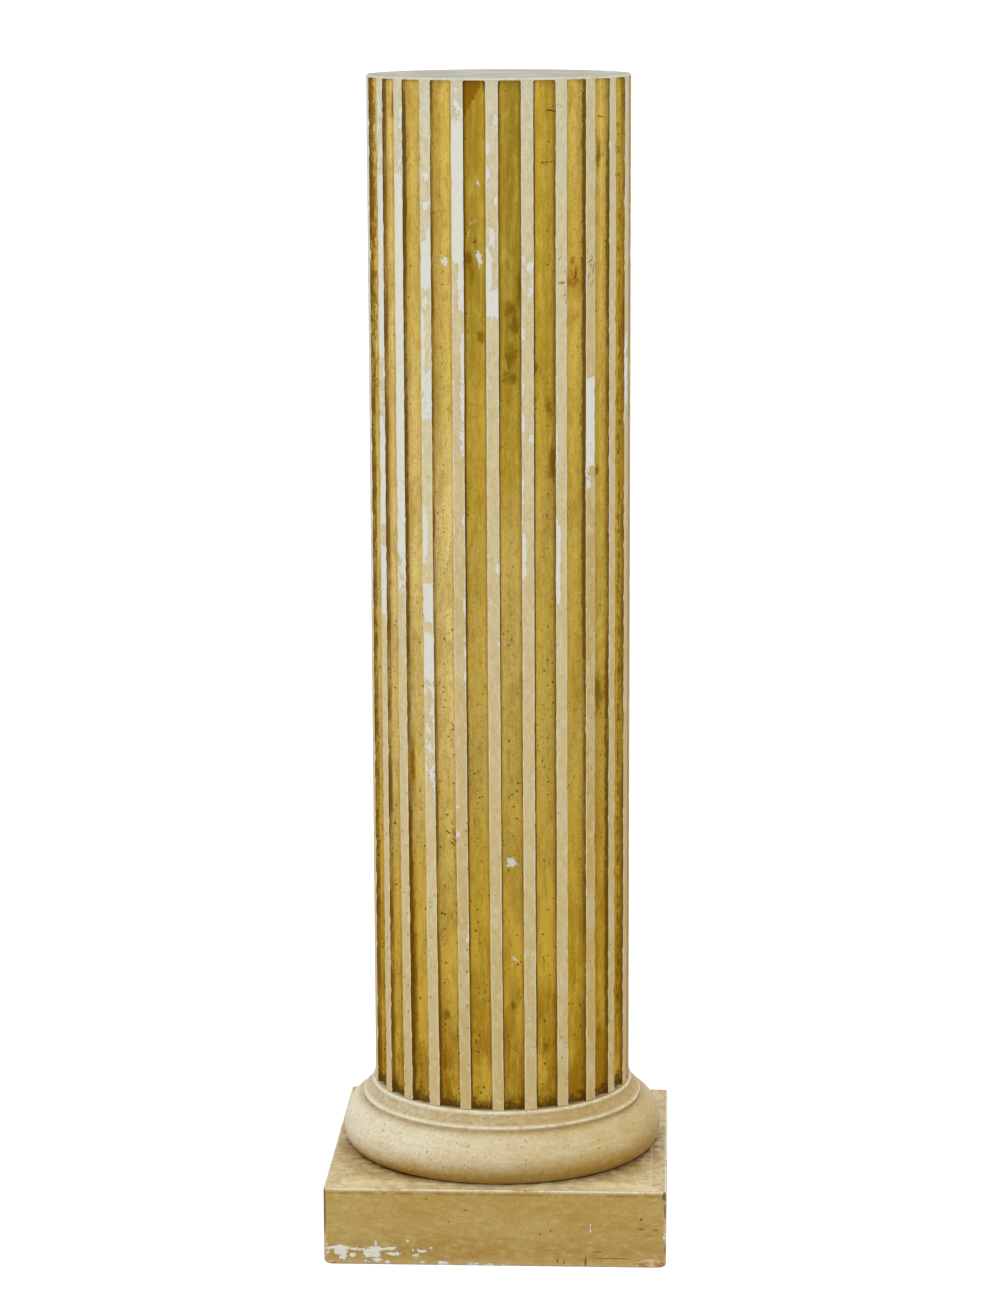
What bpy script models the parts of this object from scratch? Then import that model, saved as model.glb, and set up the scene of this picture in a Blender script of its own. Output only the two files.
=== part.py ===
"""A fluted column pedestal: a round fluted shaft under a thin board, on a turned ring and a boarded plinth.

Metres, +Z up. The column's axis is the Z axis, the plinth's front faces -Y, and the plinth stands on z = 0.
"""

import math

import bmesh
import bpy
from mathutils import Matrix

# Overall height, and the clearance between pieces that touch
HEIGHT = 1.096
JOINT_GAP = 0.0003

# Shaft: a cylinder with flat fillets left standing between its flutes
SHAFT_RADIUS = 0.1225
FLUTE_COUNT = 24
FILLET_WIDTH = 0.0113
FLUTE_DEPTH = 0.008
FLUTE_SQUARENESS = 2.8
FLUTE_FACETS = 12
FILLET_FACETS = 2

# Top board, laid over the ends of the flutes and flush with the fillets
TOP_BOARD_THICKNESS = 0.0025
TOP_BOARD_ROUNDING = 0.0015

# Base ring, from its ledge down to its foot: each reach is how far one moulding stands out from the one above
RING_HEIGHT = 0.065
LEDGE_REACH = 0.003
LEDGE_BAND = 0.002
LEDGE_ROUNDING = 0.0015
CAVETTO_REACH = 0.0085
CAVETTO_DROP = 0.0104
CAVETTO_HOLLOW = 0.002
BEAD_BAND = 0.003
BEAD_ROUNDING = 0.001
QUIRK_DROP = 0.002
QUIRK_TUCK = 0.001
TORUS_REACH = 0.019
TORUS_RISE = 0.030
TORUS_TUCK = 0.0115

# Plinth: four mitred side boards round an inset panel
PLINTH_MARGIN = 0.007
PLINTH_HEIGHT = 0.074
SIDE_BOARD_THICKNESS = 0.015
PANEL_THICKNESS = 0.015
PLINTH_EASING = 0.001

# Facets of the turned pieces, and of their mouldings
TURNED_SEGMENTS = 72
SMALL_ARC_STEPS = 3
LARGE_ARC_STEPS = 9
SMOOTH_ANGLE = math.radians(35)

# Radii and heights that follow from the sizes above
LEDGE_RADIUS = SHAFT_RADIUS + LEDGE_REACH
BEAD_RADIUS = LEDGE_RADIUS + CAVETTO_REACH
TORUS_RADIUS = BEAD_RADIUS + TORUS_REACH
RING_TOP = PLINTH_HEIGHT + RING_HEIGHT
RING_FOOT = PLINTH_HEIGHT + JOINT_GAP
BEAD_TOP = RING_TOP - LEDGE_BAND - CAVETTO_DROP
TORUS_TOP = BEAD_TOP - BEAD_BAND - QUIRK_DROP
TORUS_BELLY = TORUS_TOP - TORUS_RISE
SHAFT_FOOT = RING_TOP + JOINT_GAP
BOARD_FOOT = HEIGHT - TOP_BOARD_THICKNESS
SHAFT_TOP = BOARD_FOOT - JOINT_GAP
PLINTH_HALF = TORUS_RADIUS + PLINTH_MARGIN

CREAM_PAINT = (0.66, 0.58, 0.41)
GILDING = (0.46, 0.31, 0.06)
OCHRE_PAINT = (0.40, 0.28, 0.10)
GREY_CREAM_PAINT = (0.52, 0.50, 0.40)


def clear_scene():
    for obj in list(bpy.data.objects):
        bpy.data.objects.remove(obj, do_unlink=True)


def finish(name, colour, roughness, metallic=0.0):
    """A plain material in one colour."""
    material = bpy.data.materials.new(name)
    material.use_nodes = True
    shader = material.node_tree.nodes["Principled BSDF"]
    shader.inputs["Base Color"].default_value = (*colour, 1.0)
    shader.inputs["Roughness"].default_value = roughness
    shader.inputs["Metallic"].default_value = metallic
    material.diffuse_color = (*colour, 1.0)
    return material


def place(name, bm, materials):
    """The finished mesh as a named object, with its faces turned outward and its curves shaded smooth."""
    bmesh.ops.recalc_face_normals(bm, faces=bm.faces)
    mesh = bpy.data.meshes.new(name)
    bm.to_mesh(mesh)
    bm.free()
    mesh.shade_smooth()
    mesh.set_sharp_from_angle(angle=SMOOTH_ANGLE)
    for material in materials:
        mesh.materials.append(material)
    obj = bpy.data.objects.new(name, mesh)
    bpy.context.scene.collection.objects.link(obj)
    return obj


def arc(centre, reach, rise, start, end, steps):
    """Points (radius, height) on an ellipse about centre, from one angle in degrees to another."""
    points = []
    for step in range(steps + 1):
        angle = math.radians(start + (end - start) * step / steps)
        points.append((centre[0] + reach * math.cos(angle), centre[1] + rise * math.sin(angle)))
    return points


def hollow(start, end, depth, steps):
    """Points from start to end, both included, along a shallow curve that sinks in by depth at its middle."""
    run = end[0] - start[0]
    drop = end[1] - start[1]
    length = math.hypot(run, drop)
    points = []
    for step in range(steps + 1):
        share = step / steps
        sink = 4 * depth * share * (1 - share) / length
        points.append((start[0] + run * share + drop * sink, start[1] + drop * share - run * sink))
    return points


def turned(name, profile, material):
    """A solid turned about the Z axis; its profile starts and ends on the axis."""
    bm = bmesh.new()
    verts = [bm.verts.new((radius, 0.0, height)) for radius, height in profile]
    edges = [bm.edges.new(pair) for pair in zip(verts, verts[1:])]
    bmesh.ops.spin(
        bm,
        geom=verts + edges,
        cent=(0.0, 0.0, 0.0),
        axis=(0.0, 0.0, 1.0),
        angle=2 * math.pi,
        steps=TURNED_SEGMENTS,
        use_merge=True,
    )
    bmesh.ops.remove_doubles(bm, verts=bm.verts, dist=1e-6)
    return place(name, bm, [material])


def shaft_outline():
    """The shaft seen from above: (x, y, on a flute) round the axis, starting on the fillet that faces -Y."""
    pitch = 2 * math.pi / FLUTE_COUNT
    half_fillet = FILLET_WIDTH / SHAFT_RADIUS / 2
    half_flute = pitch / 2 - half_fillet
    outline = []
    for number in range(FLUTE_COUNT):
        fillet_angle = number * pitch - math.pi / 2
        for step in range(FILLET_FACETS):
            angle = fillet_angle + half_fillet * (2 * step / FILLET_FACETS - 1)
            outline.append((SHAFT_RADIUS * math.cos(angle), SHAFT_RADIUS * math.sin(angle), False))
        for step in range(FLUTE_FACETS):
            across = -math.cos(math.pi * step / FLUTE_FACETS)
            sink = FLUTE_DEPTH * (1 - abs(across) ** FLUTE_SQUARENESS) ** (1 / FLUTE_SQUARENESS)
            angle = fillet_angle + pitch / 2 + half_flute * across
            radius = SHAFT_RADIUS - sink
            outline.append((radius * math.cos(angle), radius * math.sin(angle), True))
    return outline


def fluted_shaft(paint, gilding):
    outline = shaft_outline()
    bm = bmesh.new()
    lower = [bm.verts.new((x, y, SHAFT_FOOT)) for x, y, _ in outline]
    upper = [bm.verts.new((x, y, SHAFT_TOP)) for x, y, _ in outline]
    bm.faces.new(lower[::-1])
    bm.faces.new(upper)
    for index, (_, _, on_flute) in enumerate(outline):
        after = (index + 1) % len(outline)
        side = bm.faces.new((lower[index], lower[after], upper[after], upper[index]))
        side.material_index = 1 if on_flute else 0
    return place("fluted_shaft", bm, [paint, gilding])


def top_board(material):
    rounding = TOP_BOARD_ROUNDING
    profile = [(0.0, HEIGHT)]
    profile += arc((SHAFT_RADIUS - rounding, HEIGHT - rounding), rounding, rounding, 90, 0, SMALL_ARC_STEPS)
    profile += [(SHAFT_RADIUS, BOARD_FOOT), (0.0, BOARD_FOOT)]
    return turned("top_board", profile, material)


def base_ring(material):
    """A torus, a quirk and a bead under a shallow cavetto, whose ledge carries the shaft."""
    ledge = (LEDGE_RADIUS - LEDGE_ROUNDING, RING_TOP - LEDGE_ROUNDING)
    bead = (BEAD_RADIUS - BEAD_ROUNDING, BEAD_TOP - BEAD_ROUNDING)
    quirk = (BEAD_RADIUS - QUIRK_TUCK, TORUS_BELLY)
    tuck = (TORUS_RADIUS - TORUS_TUCK, TORUS_BELLY)
    cavetto_top = (LEDGE_RADIUS, RING_TOP - LEDGE_BAND)
    cavetto_foot = (BEAD_RADIUS - BEAD_ROUNDING, BEAD_TOP)
    profile = [(0.0, RING_TOP)]
    profile += arc(ledge, LEDGE_ROUNDING, LEDGE_ROUNDING, 90, 0, SMALL_ARC_STEPS)
    profile += hollow(cavetto_top, cavetto_foot, CAVETTO_HOLLOW, LARGE_ARC_STEPS)
    profile += arc(bead, BEAD_ROUNDING, BEAD_ROUNDING, 60, 0, SMALL_ARC_STEPS)
    profile += [(BEAD_RADIUS, BEAD_TOP - BEAD_BAND), (quirk[0], BEAD_TOP - BEAD_BAND)]
    profile += arc(quirk, TORUS_RADIUS - quirk[0], TORUS_RISE, 90, 0, LARGE_ARC_STEPS)
    profile += arc(tuck, TORUS_TUCK, TORUS_BELLY - RING_FOOT, 0, -90, LARGE_ARC_STEPS)[1:]
    profile += [(0.0, RING_FOOT)]
    return turned("base_ring", profile, material)


def side_board(name, turn, material):
    """One mitred side of the plinth: its section runs along X at the front, and turn sets it on its side."""
    easing = PLINTH_EASING
    section = arc((-easing, easing), easing, easing, -90, 0, SMALL_ARC_STEPS)
    section += arc((-easing, PLINTH_HEIGHT - easing), easing, easing, 0, 90, SMALL_ARC_STEPS)
    section += [(-SIDE_BOARD_THICKNESS, PLINTH_HEIGHT), (-SIDE_BOARD_THICKNESS, 0.0)]
    bm = bmesh.new()
    ends = []
    for side in (-1, 1):
        points = []
        for inset, height in section:
            reach = PLINTH_HALF + inset
            points.append(bm.verts.new((side * (reach - JOINT_GAP / math.sqrt(2)), -reach, height)))
        bm.faces.new(points)
        ends.append(points)
    for index in range(len(section)):
        after = (index + 1) % len(section)
        bm.faces.new((ends[0][index], ends[0][after], ends[1][after], ends[1][index]))
    bmesh.ops.transform(bm, matrix=Matrix.Rotation(turn, 4, "Z"), verts=bm.verts)
    return place(name, bm, [material])


def plinth_panel(material):
    side = 2 * (PLINTH_HALF - SIDE_BOARD_THICKNESS - JOINT_GAP)
    middle = Matrix.Translation((0.0, 0.0, PLINTH_HEIGHT - PANEL_THICKNESS / 2))
    bm = bmesh.new()
    bmesh.ops.create_cube(bm, size=1.0, matrix=middle @ Matrix.Diagonal((side, side, PANEL_THICKNESS, 1.0)))
    return place("plinth_top_panel", bm, [material])


def build():
    clear_scene()
    fluted_shaft(finish("shaft_paint", CREAM_PAINT, 0.6), finish("shaft_gilding", GILDING, 0.45, 0.6))
    top_board(finish("top_board_paint", GREY_CREAM_PAINT, 0.65))
    base_ring(finish("base_ring_paint", CREAM_PAINT, 0.55))
    boards = ("plinth_front", "plinth_right", "plinth_back", "plinth_left")
    for number, name in enumerate(boards):
        side_board(name, number * math.pi / 2, finish(name + "_paint", OCHRE_PAINT, 0.6))
    plinth_panel(finish("plinth_top_panel_paint", OCHRE_PAINT, 0.6))


build()
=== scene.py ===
"""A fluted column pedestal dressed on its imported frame: worn gilding in the flutes, old paint elsewhere.

Metres, +Z up. The column stands on the Z axis and the plinth's front faces -Y.
"""

import math
from collections import namedtuple

import bpy
import numpy as np
from mathutils import Matrix, Vector


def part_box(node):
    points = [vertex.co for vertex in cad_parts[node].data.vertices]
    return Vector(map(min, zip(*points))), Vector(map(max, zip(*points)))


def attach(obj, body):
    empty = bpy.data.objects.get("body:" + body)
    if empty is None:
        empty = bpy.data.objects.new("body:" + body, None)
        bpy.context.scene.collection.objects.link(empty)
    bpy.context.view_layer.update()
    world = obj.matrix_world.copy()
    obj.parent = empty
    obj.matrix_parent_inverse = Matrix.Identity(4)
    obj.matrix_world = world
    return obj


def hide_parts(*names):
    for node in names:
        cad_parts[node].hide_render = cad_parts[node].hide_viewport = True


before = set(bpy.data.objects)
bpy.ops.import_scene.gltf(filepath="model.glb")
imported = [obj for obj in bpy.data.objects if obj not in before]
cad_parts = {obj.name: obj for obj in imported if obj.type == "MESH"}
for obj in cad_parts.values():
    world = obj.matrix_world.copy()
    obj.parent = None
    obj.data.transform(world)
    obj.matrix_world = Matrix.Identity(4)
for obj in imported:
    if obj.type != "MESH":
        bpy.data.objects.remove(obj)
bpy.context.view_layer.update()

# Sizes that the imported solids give
SHAFT_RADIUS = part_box("fluted_shaft")[1].x
SHAFT_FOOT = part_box("fluted_shaft")[0].z
SHAFT_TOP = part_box("fluted_shaft")[1].z
BOARD_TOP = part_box("top_board")[1].z
FLUTE_END = SHAFT_TOP + 0.0006
TORUS_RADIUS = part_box("base_ring")[1].x
RING_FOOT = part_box("base_ring")[0].z
RING_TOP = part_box("base_ring")[1].z
PLINTH_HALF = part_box("plinth_front")[1].x
PLINTH_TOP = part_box("plinth_front")[1].z
PANEL_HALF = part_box("plinth_top_panel")[1].x
PANEL_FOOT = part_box("plinth_top_panel")[0].z

# Flutes and fillets, as in the solids
FLUTE_COUNT = 24
FILLET_WIDTH = 0.0113
FLUTE_DEPTH = 0.008
FLUTE_SQUARENESS = 2.8
FILLET_COLUMNS = 6
FLUTE_COLUMNS = 12
SHAFT_ROWS = 229

# Mouldings of the base ring, as in the solids
LEDGE_RADIUS = SHAFT_RADIUS + 0.003
BEAD_RADIUS = LEDGE_RADIUS + 0.0085
LEDGE_BAND = 0.002
CAVETTO_DROP = 0.0104
BEAD_BAND = 0.003
QUIRK_DROP = 0.002
TORUS_RISE = 0.030
TORUS_TUCK = 0.0115
RING_SEGMENTS = 288
BOARD_SEGMENTS = 240

# Plinth boards
SIDE_BOARD_THICKNESS = 0.015
MITRE_GAP = 0.00004

# Edges that turn by more than this stay sharp
SHAFT_SHARPNESS = math.radians(38)
MOULDING_SHARPNESS = math.radians(50)

SEED = 71


def smoothstep(low, high, value):
    share = np.clip((value - low) / (high - low), 0.0, 1.0)
    return share * share * (3 - 2 * share)


def shade(red, green, blue):
    """A linear colour from display values of 0 to 255."""
    linear = []
    for value in (red, green, blue):
        part = value / 255
        linear.append(part / 12.92 if part <= 0.04045 else ((part + 0.055) / 1.055) ** 2.4)
    return (*linear, 1.0)


# Node trees

class Field:
    """An output in a node tree. Arithmetic on it adds Math nodes."""

    def __init__(self, socket):
        self.tree = socket.id_data
        self.socket = socket

    def __add__(self, other):
        return calc("ADD", self, other)

    def __sub__(self, other):
        return calc("SUBTRACT", self, other)

    def __rsub__(self, other):
        return calc("SUBTRACT", other, self)

    def __mul__(self, other):
        return calc("MULTIPLY", self, other)

    def __truediv__(self, other):
        return calc("DIVIDE", self, other)

    def __rtruediv__(self, other):
        return calc("DIVIDE", other, self)

    def __pow__(self, other):
        return calc("POWER", self, other)

    def __abs__(self):
        return calc("ABSOLUTE", self)

    def ease(self, low, high, start=0.0, end=1.0):
        """Eased from start to end as the value goes from low to high."""
        inputs = {"Value": self, "From Min": low, "From Max": high, "To Min": start, "To Max": end}
        node = add(self.tree, "ShaderNodeMapRange", inputs, interpolation_type="SMOOTHSTEP")
        return Field(node.outputs["Result"])

    def split(self):
        """A vector's three parts."""
        return [Field(part) for part in add(self.tree, "ShaderNodeSeparateXYZ", {"Vector": self}).outputs]


def put(tree, socket, value):
    """Links a field to a socket, or sets the socket's own value."""
    if isinstance(value, Field):
        tree.links.new(value.socket, socket)
    else:
        socket.default_value = value


def add(tree, kind, inputs=None, **settings):
    node = tree.nodes.new(kind)
    for name, value in settings.items():
        setattr(node, name, value)
    for key, value in (inputs or {}).items():
        put(tree, node.inputs[key], value)
    return node


def tree_of(values):
    return next(value.tree for value in values if isinstance(value, Field))


def calc(operation, *values):
    inputs = dict(enumerate(values))
    return Field(add(tree_of(values), "ShaderNodeMath", inputs, operation=operation).outputs[0])


def shift(operation, *values):
    inputs = dict(enumerate(values))
    return Field(add(tree_of(values), "ShaderNodeVectorMath", inputs, operation=operation).outputs[0])


def blend(amount, first, second, mode="MIX"):
    """Two colours mixed by an amount from 0 to 1. Three plain numbers are display values."""
    inputs = {0: amount, 6: first, 7: second}
    for key, colour in inputs.items():
        if isinstance(colour, tuple) and len(colour) == 3:
            inputs[key] = shade(*colour)
    settings = {"data_type": "RGBA", "blend_type": mode, "clamp_factor": True}
    return Field(add(amount.tree, "ShaderNodeMix", inputs, **settings).outputs[2])


def scaled(place, scale):
    return Field(add(place.tree, "ShaderNodeMapping", {"Vector": place, "Scale": scale}).outputs["Vector"])


def noise(place, scale, detail=3.0, roughness=0.55, distortion=0.0, part="Fac"):
    node = add(place.tree, "ShaderNodeTexNoise", {"Vector": place, "Scale": scale, "Detail": detail})
    put(place.tree, node.inputs["Roughness"], roughness)
    put(place.tree, node.inputs["Distortion"], distortion)
    return Field(node.outputs[part])


def group_of(name, inputs, outputs):
    """An empty shader group: its tree, its inputs as fields, and the sockets for its outputs."""
    tree = bpy.data.node_groups.new(name, "ShaderNodeTree")
    for label, value in inputs.items():
        kind = "NodeSocketFloat" if isinstance(value, float) else "NodeSocketVector"
        socket = tree.interface.new_socket(label, in_out="INPUT", socket_type=kind)
        if value is not None:
            socket.default_value = value
    for label in outputs:
        tree.interface.new_socket(label, in_out="OUTPUT", socket_type="NodeSocketFloat")
    entry = tree.nodes.new("NodeGroupInput").outputs
    given = {label: Field(entry[label]) for label in inputs}
    return tree, given, tree.nodes.new("NodeGroupOutput").inputs


def use(group, **inputs):
    """A group placed in a tree, its inputs named with underscores for spaces. Gives its output or outputs."""
    node = add(tree_of(inputs.values()), "ShaderNodeGroup", node_tree=group)
    for name, value in inputs.items():
        put(node.id_data, node.inputs[name.replace("_", " ")], value)
    results = [Field(socket) for socket in node.outputs]
    return results if len(results) > 1 else results[0]


def brushed_streaks():
    """Fine and broad streaks drawn along one axis, as a brush or a burnisher leaves them."""
    inputs = {"Place": None, "Along": (1.0, 1.0, 0.05)}
    tree, given, out = group_of("Brushed streaks", inputs, ["Fine", "Broad"])
    place = shift("MULTIPLY", given["Place"], given["Along"])
    put(tree, out["Fine"], noise(place, 900.0, 3.0, 0.6))
    put(tree, out["Broad"], noise(place, 220.0, 4.0, 0.6, 0.4))
    return tree


def specks():
    """Small round dots, scattered at random and of random size."""
    inputs = {"Place": None, "Spacing": 0.006, "Share": 0.3, "Radius": 0.12}
    tree, given, out = group_of("Specks", inputs, ["Mask"])
    wobble = noise(given["Place"], 700.0, 1.0, 0.5, part="Color")
    moved = shift("ADD", given["Place"], shift("MULTIPLY", wobble, (0.0012, 0.0012, 0.0012)))
    cells = add(tree, "ShaderNodeTexVoronoi", {"Vector": moved, "Scale": 1.0 / given["Spacing"]})
    pick = add(tree, "ShaderNodeSeparateColor", {"Color": Field(cells.outputs["Color"])})
    chosen = calc("LESS_THAN", Field(pick.outputs["Red"]), given["Share"])
    size = given["Radius"] * (Field(pick.outputs["Green"]) + 0.35)
    put(tree, out["Mask"], Field(cells.outputs["Distance"]).ease(size * 0.55, size, 1.0, 0.0) * chosen)
    return tree


def ragged_edge():
    """A soft field cut off along a torn, crumbling line."""
    inputs = {"Field": 0.0, "Place": None, "Grain": 200.0, "Tear": 1.5, "Softness": 0.06}
    tree, given, out = group_of("Ragged edge", inputs, ["Mask"])
    coarse = noise(given["Place"], given["Grain"], 2.0, 0.5, 0.4)
    fine = noise(given["Place"], given["Grain"] * 3.6, 3.0, 0.6)
    torn = (fine * 0.45 + coarse * 0.55 - 0.5) * given["Tear"]
    level = given["Field"] + torn * given["Field"].ease(0.0, 0.12)
    put(tree, out["Mask"], level.ease(0.5 - given["Softness"], given["Softness"] + 0.5))
    return tree


def short_stroke():
    """One thin stroke on the shaft, placed by its distance round from the front and its height."""
    inputs = {"Around": 0.0, "Height": 0.0, "Middle Around": 0.0, "Middle Height": 0.0}
    inputs.update({"Turn": 0.0, "Length": 0.004, "Width": 0.0006, "Bend": 0.0})
    tree, given, out = group_of("Short stroke", inputs, ["Mask"])
    sideways = given["Around"] - given["Middle Around"]
    upward = given["Height"] - given["Middle Height"]
    cosine = calc("COSINE", given["Turn"])
    sine = calc("SINE", given["Turn"])
    along = sideways * cosine + upward * sine
    off = abs(upward * cosine - sideways * sine - along * along * given["Bend"])
    inside = abs(along).ease(given["Length"] * 0.65, given["Length"], 1.0, 0.0)
    put(tree, out["Mask"], inside * off.ease(given["Width"] * 0.7, given["Width"] * 1.5, 1.0, 0.0))
    return tree


STREAKS = brushed_streaks()
SPECKS = specks()
RAGGED = ragged_edge()
STROKE = short_stroke()

# A thin mark drawn on the shaft: degrees round from the front, height, turn in degrees, half length,
# half width, bend
Stroke = namedtuple("Stroke", "angle height turn length width bend")

DARK_STROKES = [
    Stroke(25.8, 1.0668, -5, 0.0042, 0.0007, -60),
    Stroke(28.8, 1.0638, -68, 0.0028, 0.0006, 0),
    Stroke(24.3, 1.0204, 3, 0.0074, 0.0006, 20),
    Stroke(23.3, 1.0196, 40, 0.0014, 0.0008, 0),
    Stroke(55.7, 1.0600, 0, 0.0034, 0.0006, -90),
    Stroke(-20.7, 0.3931, -42, 0.0048, 0.0006, 0),
    Stroke(-19.2, 0.3956, -42, 0.0040, 0.0005, 0),
    Stroke(-23.0, 0.4036, -30, 0.0030, 0.0007, -80),
    Stroke(-20.6, 0.4121, -50, 0.0026, 0.0005, 0),
    Stroke(-23.2, 0.4197, 30, 0.0022, 0.0007, 120),
    Stroke(-20.1, 0.5055, -50, 0.0034, 0.0005, 0),
    Stroke(-22.1, 0.4939, 20, 0.0014, 0.0006, 0),
    Stroke(-19.4, 0.4773, -15, 0.0020, 0.0006, 90),
    Stroke(-8.0, 0.9508, 60, 0.0030, 0.0007, 150),
    Stroke(40.0, 0.9181, 75, 0.0040, 0.0007, 90),
]
PALE_STROKES = [
    Stroke(-9.2, 0.9683, 28, 0.0048, 0.0006, -70),
    Stroke(-11.0, 0.9580, 80, 0.0040, 0.0004, 0),
]
RUST_STROKES = [
    Stroke(29.3, 0.9346, 30, 0.0022, 0.0006, 0),
    Stroke(32.4, 0.9245, 70, 0.0042, 0.0007, 60),
    Stroke(30.2, 0.9122, 4, 0.0042, 0.0008, 40),
    Stroke(32.2, 0.8973, 75, 0.0046, 0.0006, -60),
    Stroke(45.2, 0.9314, 35, 0.0040, 0.0008, -90),
    Stroke(46.9, 0.9235, 70, 0.0044, 0.0008, -80),
    Stroke(46.2, 0.9101, 65, 0.0042, 0.0006, 70),
    Stroke(44.2, 0.9175, 70, 0.0034, 0.0006, -60),
    Stroke(46.4, 0.9345, -20, 0.0026, 0.0006, 120),
    Stroke(47.6, 0.9290, 80, 0.0036, 0.0007, 80),
    Stroke(45.4, 0.9262, 50, 0.0024, 0.0006, -120),
    Stroke(33.2, 0.9268, 60, 0.0024, 0.0006, 0),
    Stroke(31.6, 0.9010, 40, 0.0024, 0.0006, 90),
]


class Coat:
    """A material in the making: its tree, its shader, and the colour laid on so far."""

    def __init__(self, name, colour, specular=0.5):
        self.material = bpy.data.materials.new(name)
        self.material.use_nodes = True
        self.material.diffuse_color = shade(*colour)
        self.tree = self.material.node_tree
        self.shader = self.tree.nodes["Principled BSDF"]
        self.shader.inputs["Specular IOR Level"].default_value = specular
        self.place = Field(add(self.tree, "ShaderNodeTexCoord").outputs["Object"])
        self.colour = colour

    def attribute(self, name):
        return Field(add(self.tree, "ShaderNodeAttribute", attribute_name=name).outputs["Fac"])

    def stretched(self, x, y, z):
        return scaled(self.place, (x, y, z))

    def lay(self, amount, colour, mode="MIX"):
        self.colour = blend(amount, self.colour, colour, mode)

    def patch(self, field, low, high, most, colour):
        """Lays a colour on where a field goes from low to high, up to the most."""
        self.lay(field.ease(low, high, 0.0, most), colour)

    def ragged(self, name, grain, tear, softness=0.06, place=None):
        """Where an attribute's field lies, cut off along a torn line."""
        field = self.attribute(name)
        place = place or self.place
        return use(RAGGED, Field=field, Place=place, Grain=grain, Tear=tear, Softness=softness)

    def finish(self, roughness, height, distance, strength=1.0):
        put(self.tree, self.shader.inputs["Base Color"], self.colour)
        put(self.tree, self.shader.inputs["Roughness"], roughness)
        inputs = {"Strength": strength, "Distance": distance, "Height": height}
        bump = add(self.tree, "ShaderNodeBump", inputs)
        self.tree.links.new(bump.outputs["Normal"], self.shader.inputs["Normal"])
        return self.material


def strokes_on(place, strokes):
    """How strongly a list of strokes lies at each point of the shaft, each one shaky and broken."""
    x, y, z = place.split()
    around = calc("ARCTAN2", x, y * -1.0) * SHAFT_RADIUS
    height = noise(place, 420.0, 2.0) * 0.0036 + (z - 0.0018)
    total = 0.0
    for item in strokes:
        mask = use(
            STROKE,
            Around=around,
            Height=height,
            Middle_Around=math.radians(item.angle) * SHAFT_RADIUS,
            Middle_Height=item.height,
            Turn=math.radians(item.turn),
            Length=item.length,
            Width=item.width,
            Bend=float(item.bend),
        )
        total = calc("MAXIMUM", total, mask)
    return total * noise(place, 900.0, 2.0).ease(0.40, 0.52, 0.3, 1.0)


def fillet_paint():
    """Old cream paint on the fillets, browner towards the foot, lost in places down to white gesso."""
    coat = Coat("fillet_paint", (205, 190, 150), 0.25)
    height = coat.place.split()[2]
    fine, _ = use(STREAKS, Place=coat.place, Along=(1.0, 1.0, 0.10))
    blotch = noise(coat.place, 26.0, 5.0, 0.6)
    mottle = noise(coat.stretched(1.0, 1.0, 0.5), 210.0, 4.0, 0.6)
    coat.colour = blend((blotch * 0.35 + height).ease(1.12, 0.55), (208, 197, 160), (206, 188, 142))
    coat.patch(blotch * 0.25 + height, 1.08, 1.20, 0.85, (203, 201, 176))
    coat.patch(blotch * 0.2 + height, 0.55, 0.25, 0.65, (188, 168, 112))
    coat.lay(coat.attribute("browned") * height.ease(1.05, 0.45, 0.35, 0.9), (184, 156, 88))
    grain = noise(coat.stretched(1.0, 1.0, 0.7), 700.0, 2.0, 0.6)
    coat.patch(mottle, 0.48, 0.64, 0.35, (188, 160, 108))
    coat.patch(mottle, 0.48, 0.34, 0.35, (214, 206, 178))
    coat.patch(blotch, 0.5, 0.64, 0.4, (198, 190, 156))
    coat.patch(fine, 0.52, 0.70, 0.3, (178, 154, 102))
    coat.patch(grain, 0.54, 0.70, 0.4, (168, 142, 92))
    brown = use(SPECKS, Place=coat.place, Spacing=0.0044, Share=0.34, Radius=0.24)
    coat.lay(brown * height.ease(0.75, 0.25, 0.3, 0.8), (112, 82, 38))
    coat.lay(strokes_on(coat.place, RUST_STROKES), (152, 92, 46))
    edge = abs(coat.attribute("fillet_across")).ease(0.66, 0.98)
    patchy = noise(coat.stretched(1.0, 1.0, 0.25), 150.0, 4.0, 0.65)
    coat.lay(edge * patchy.ease(0.38, 0.60, 0.2, 1.0) * 0.68, (218, 212, 184))
    bare = coat.ragged("loss", 150.0, 2.6, place=coat.stretched(1.0, 1.0, 0.6))
    soiled = noise(coat.place, 240.0, 4.0, 0.6)
    coat.lay(bare, blend(soiled.ease(0.5, 0.70, 0.0, 0.5), (213, 212, 200), (202, 194, 170)))
    return coat.finish(bare * 0.25 + 0.58, mottle * 0.5 - bare, 0.0003)


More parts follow.
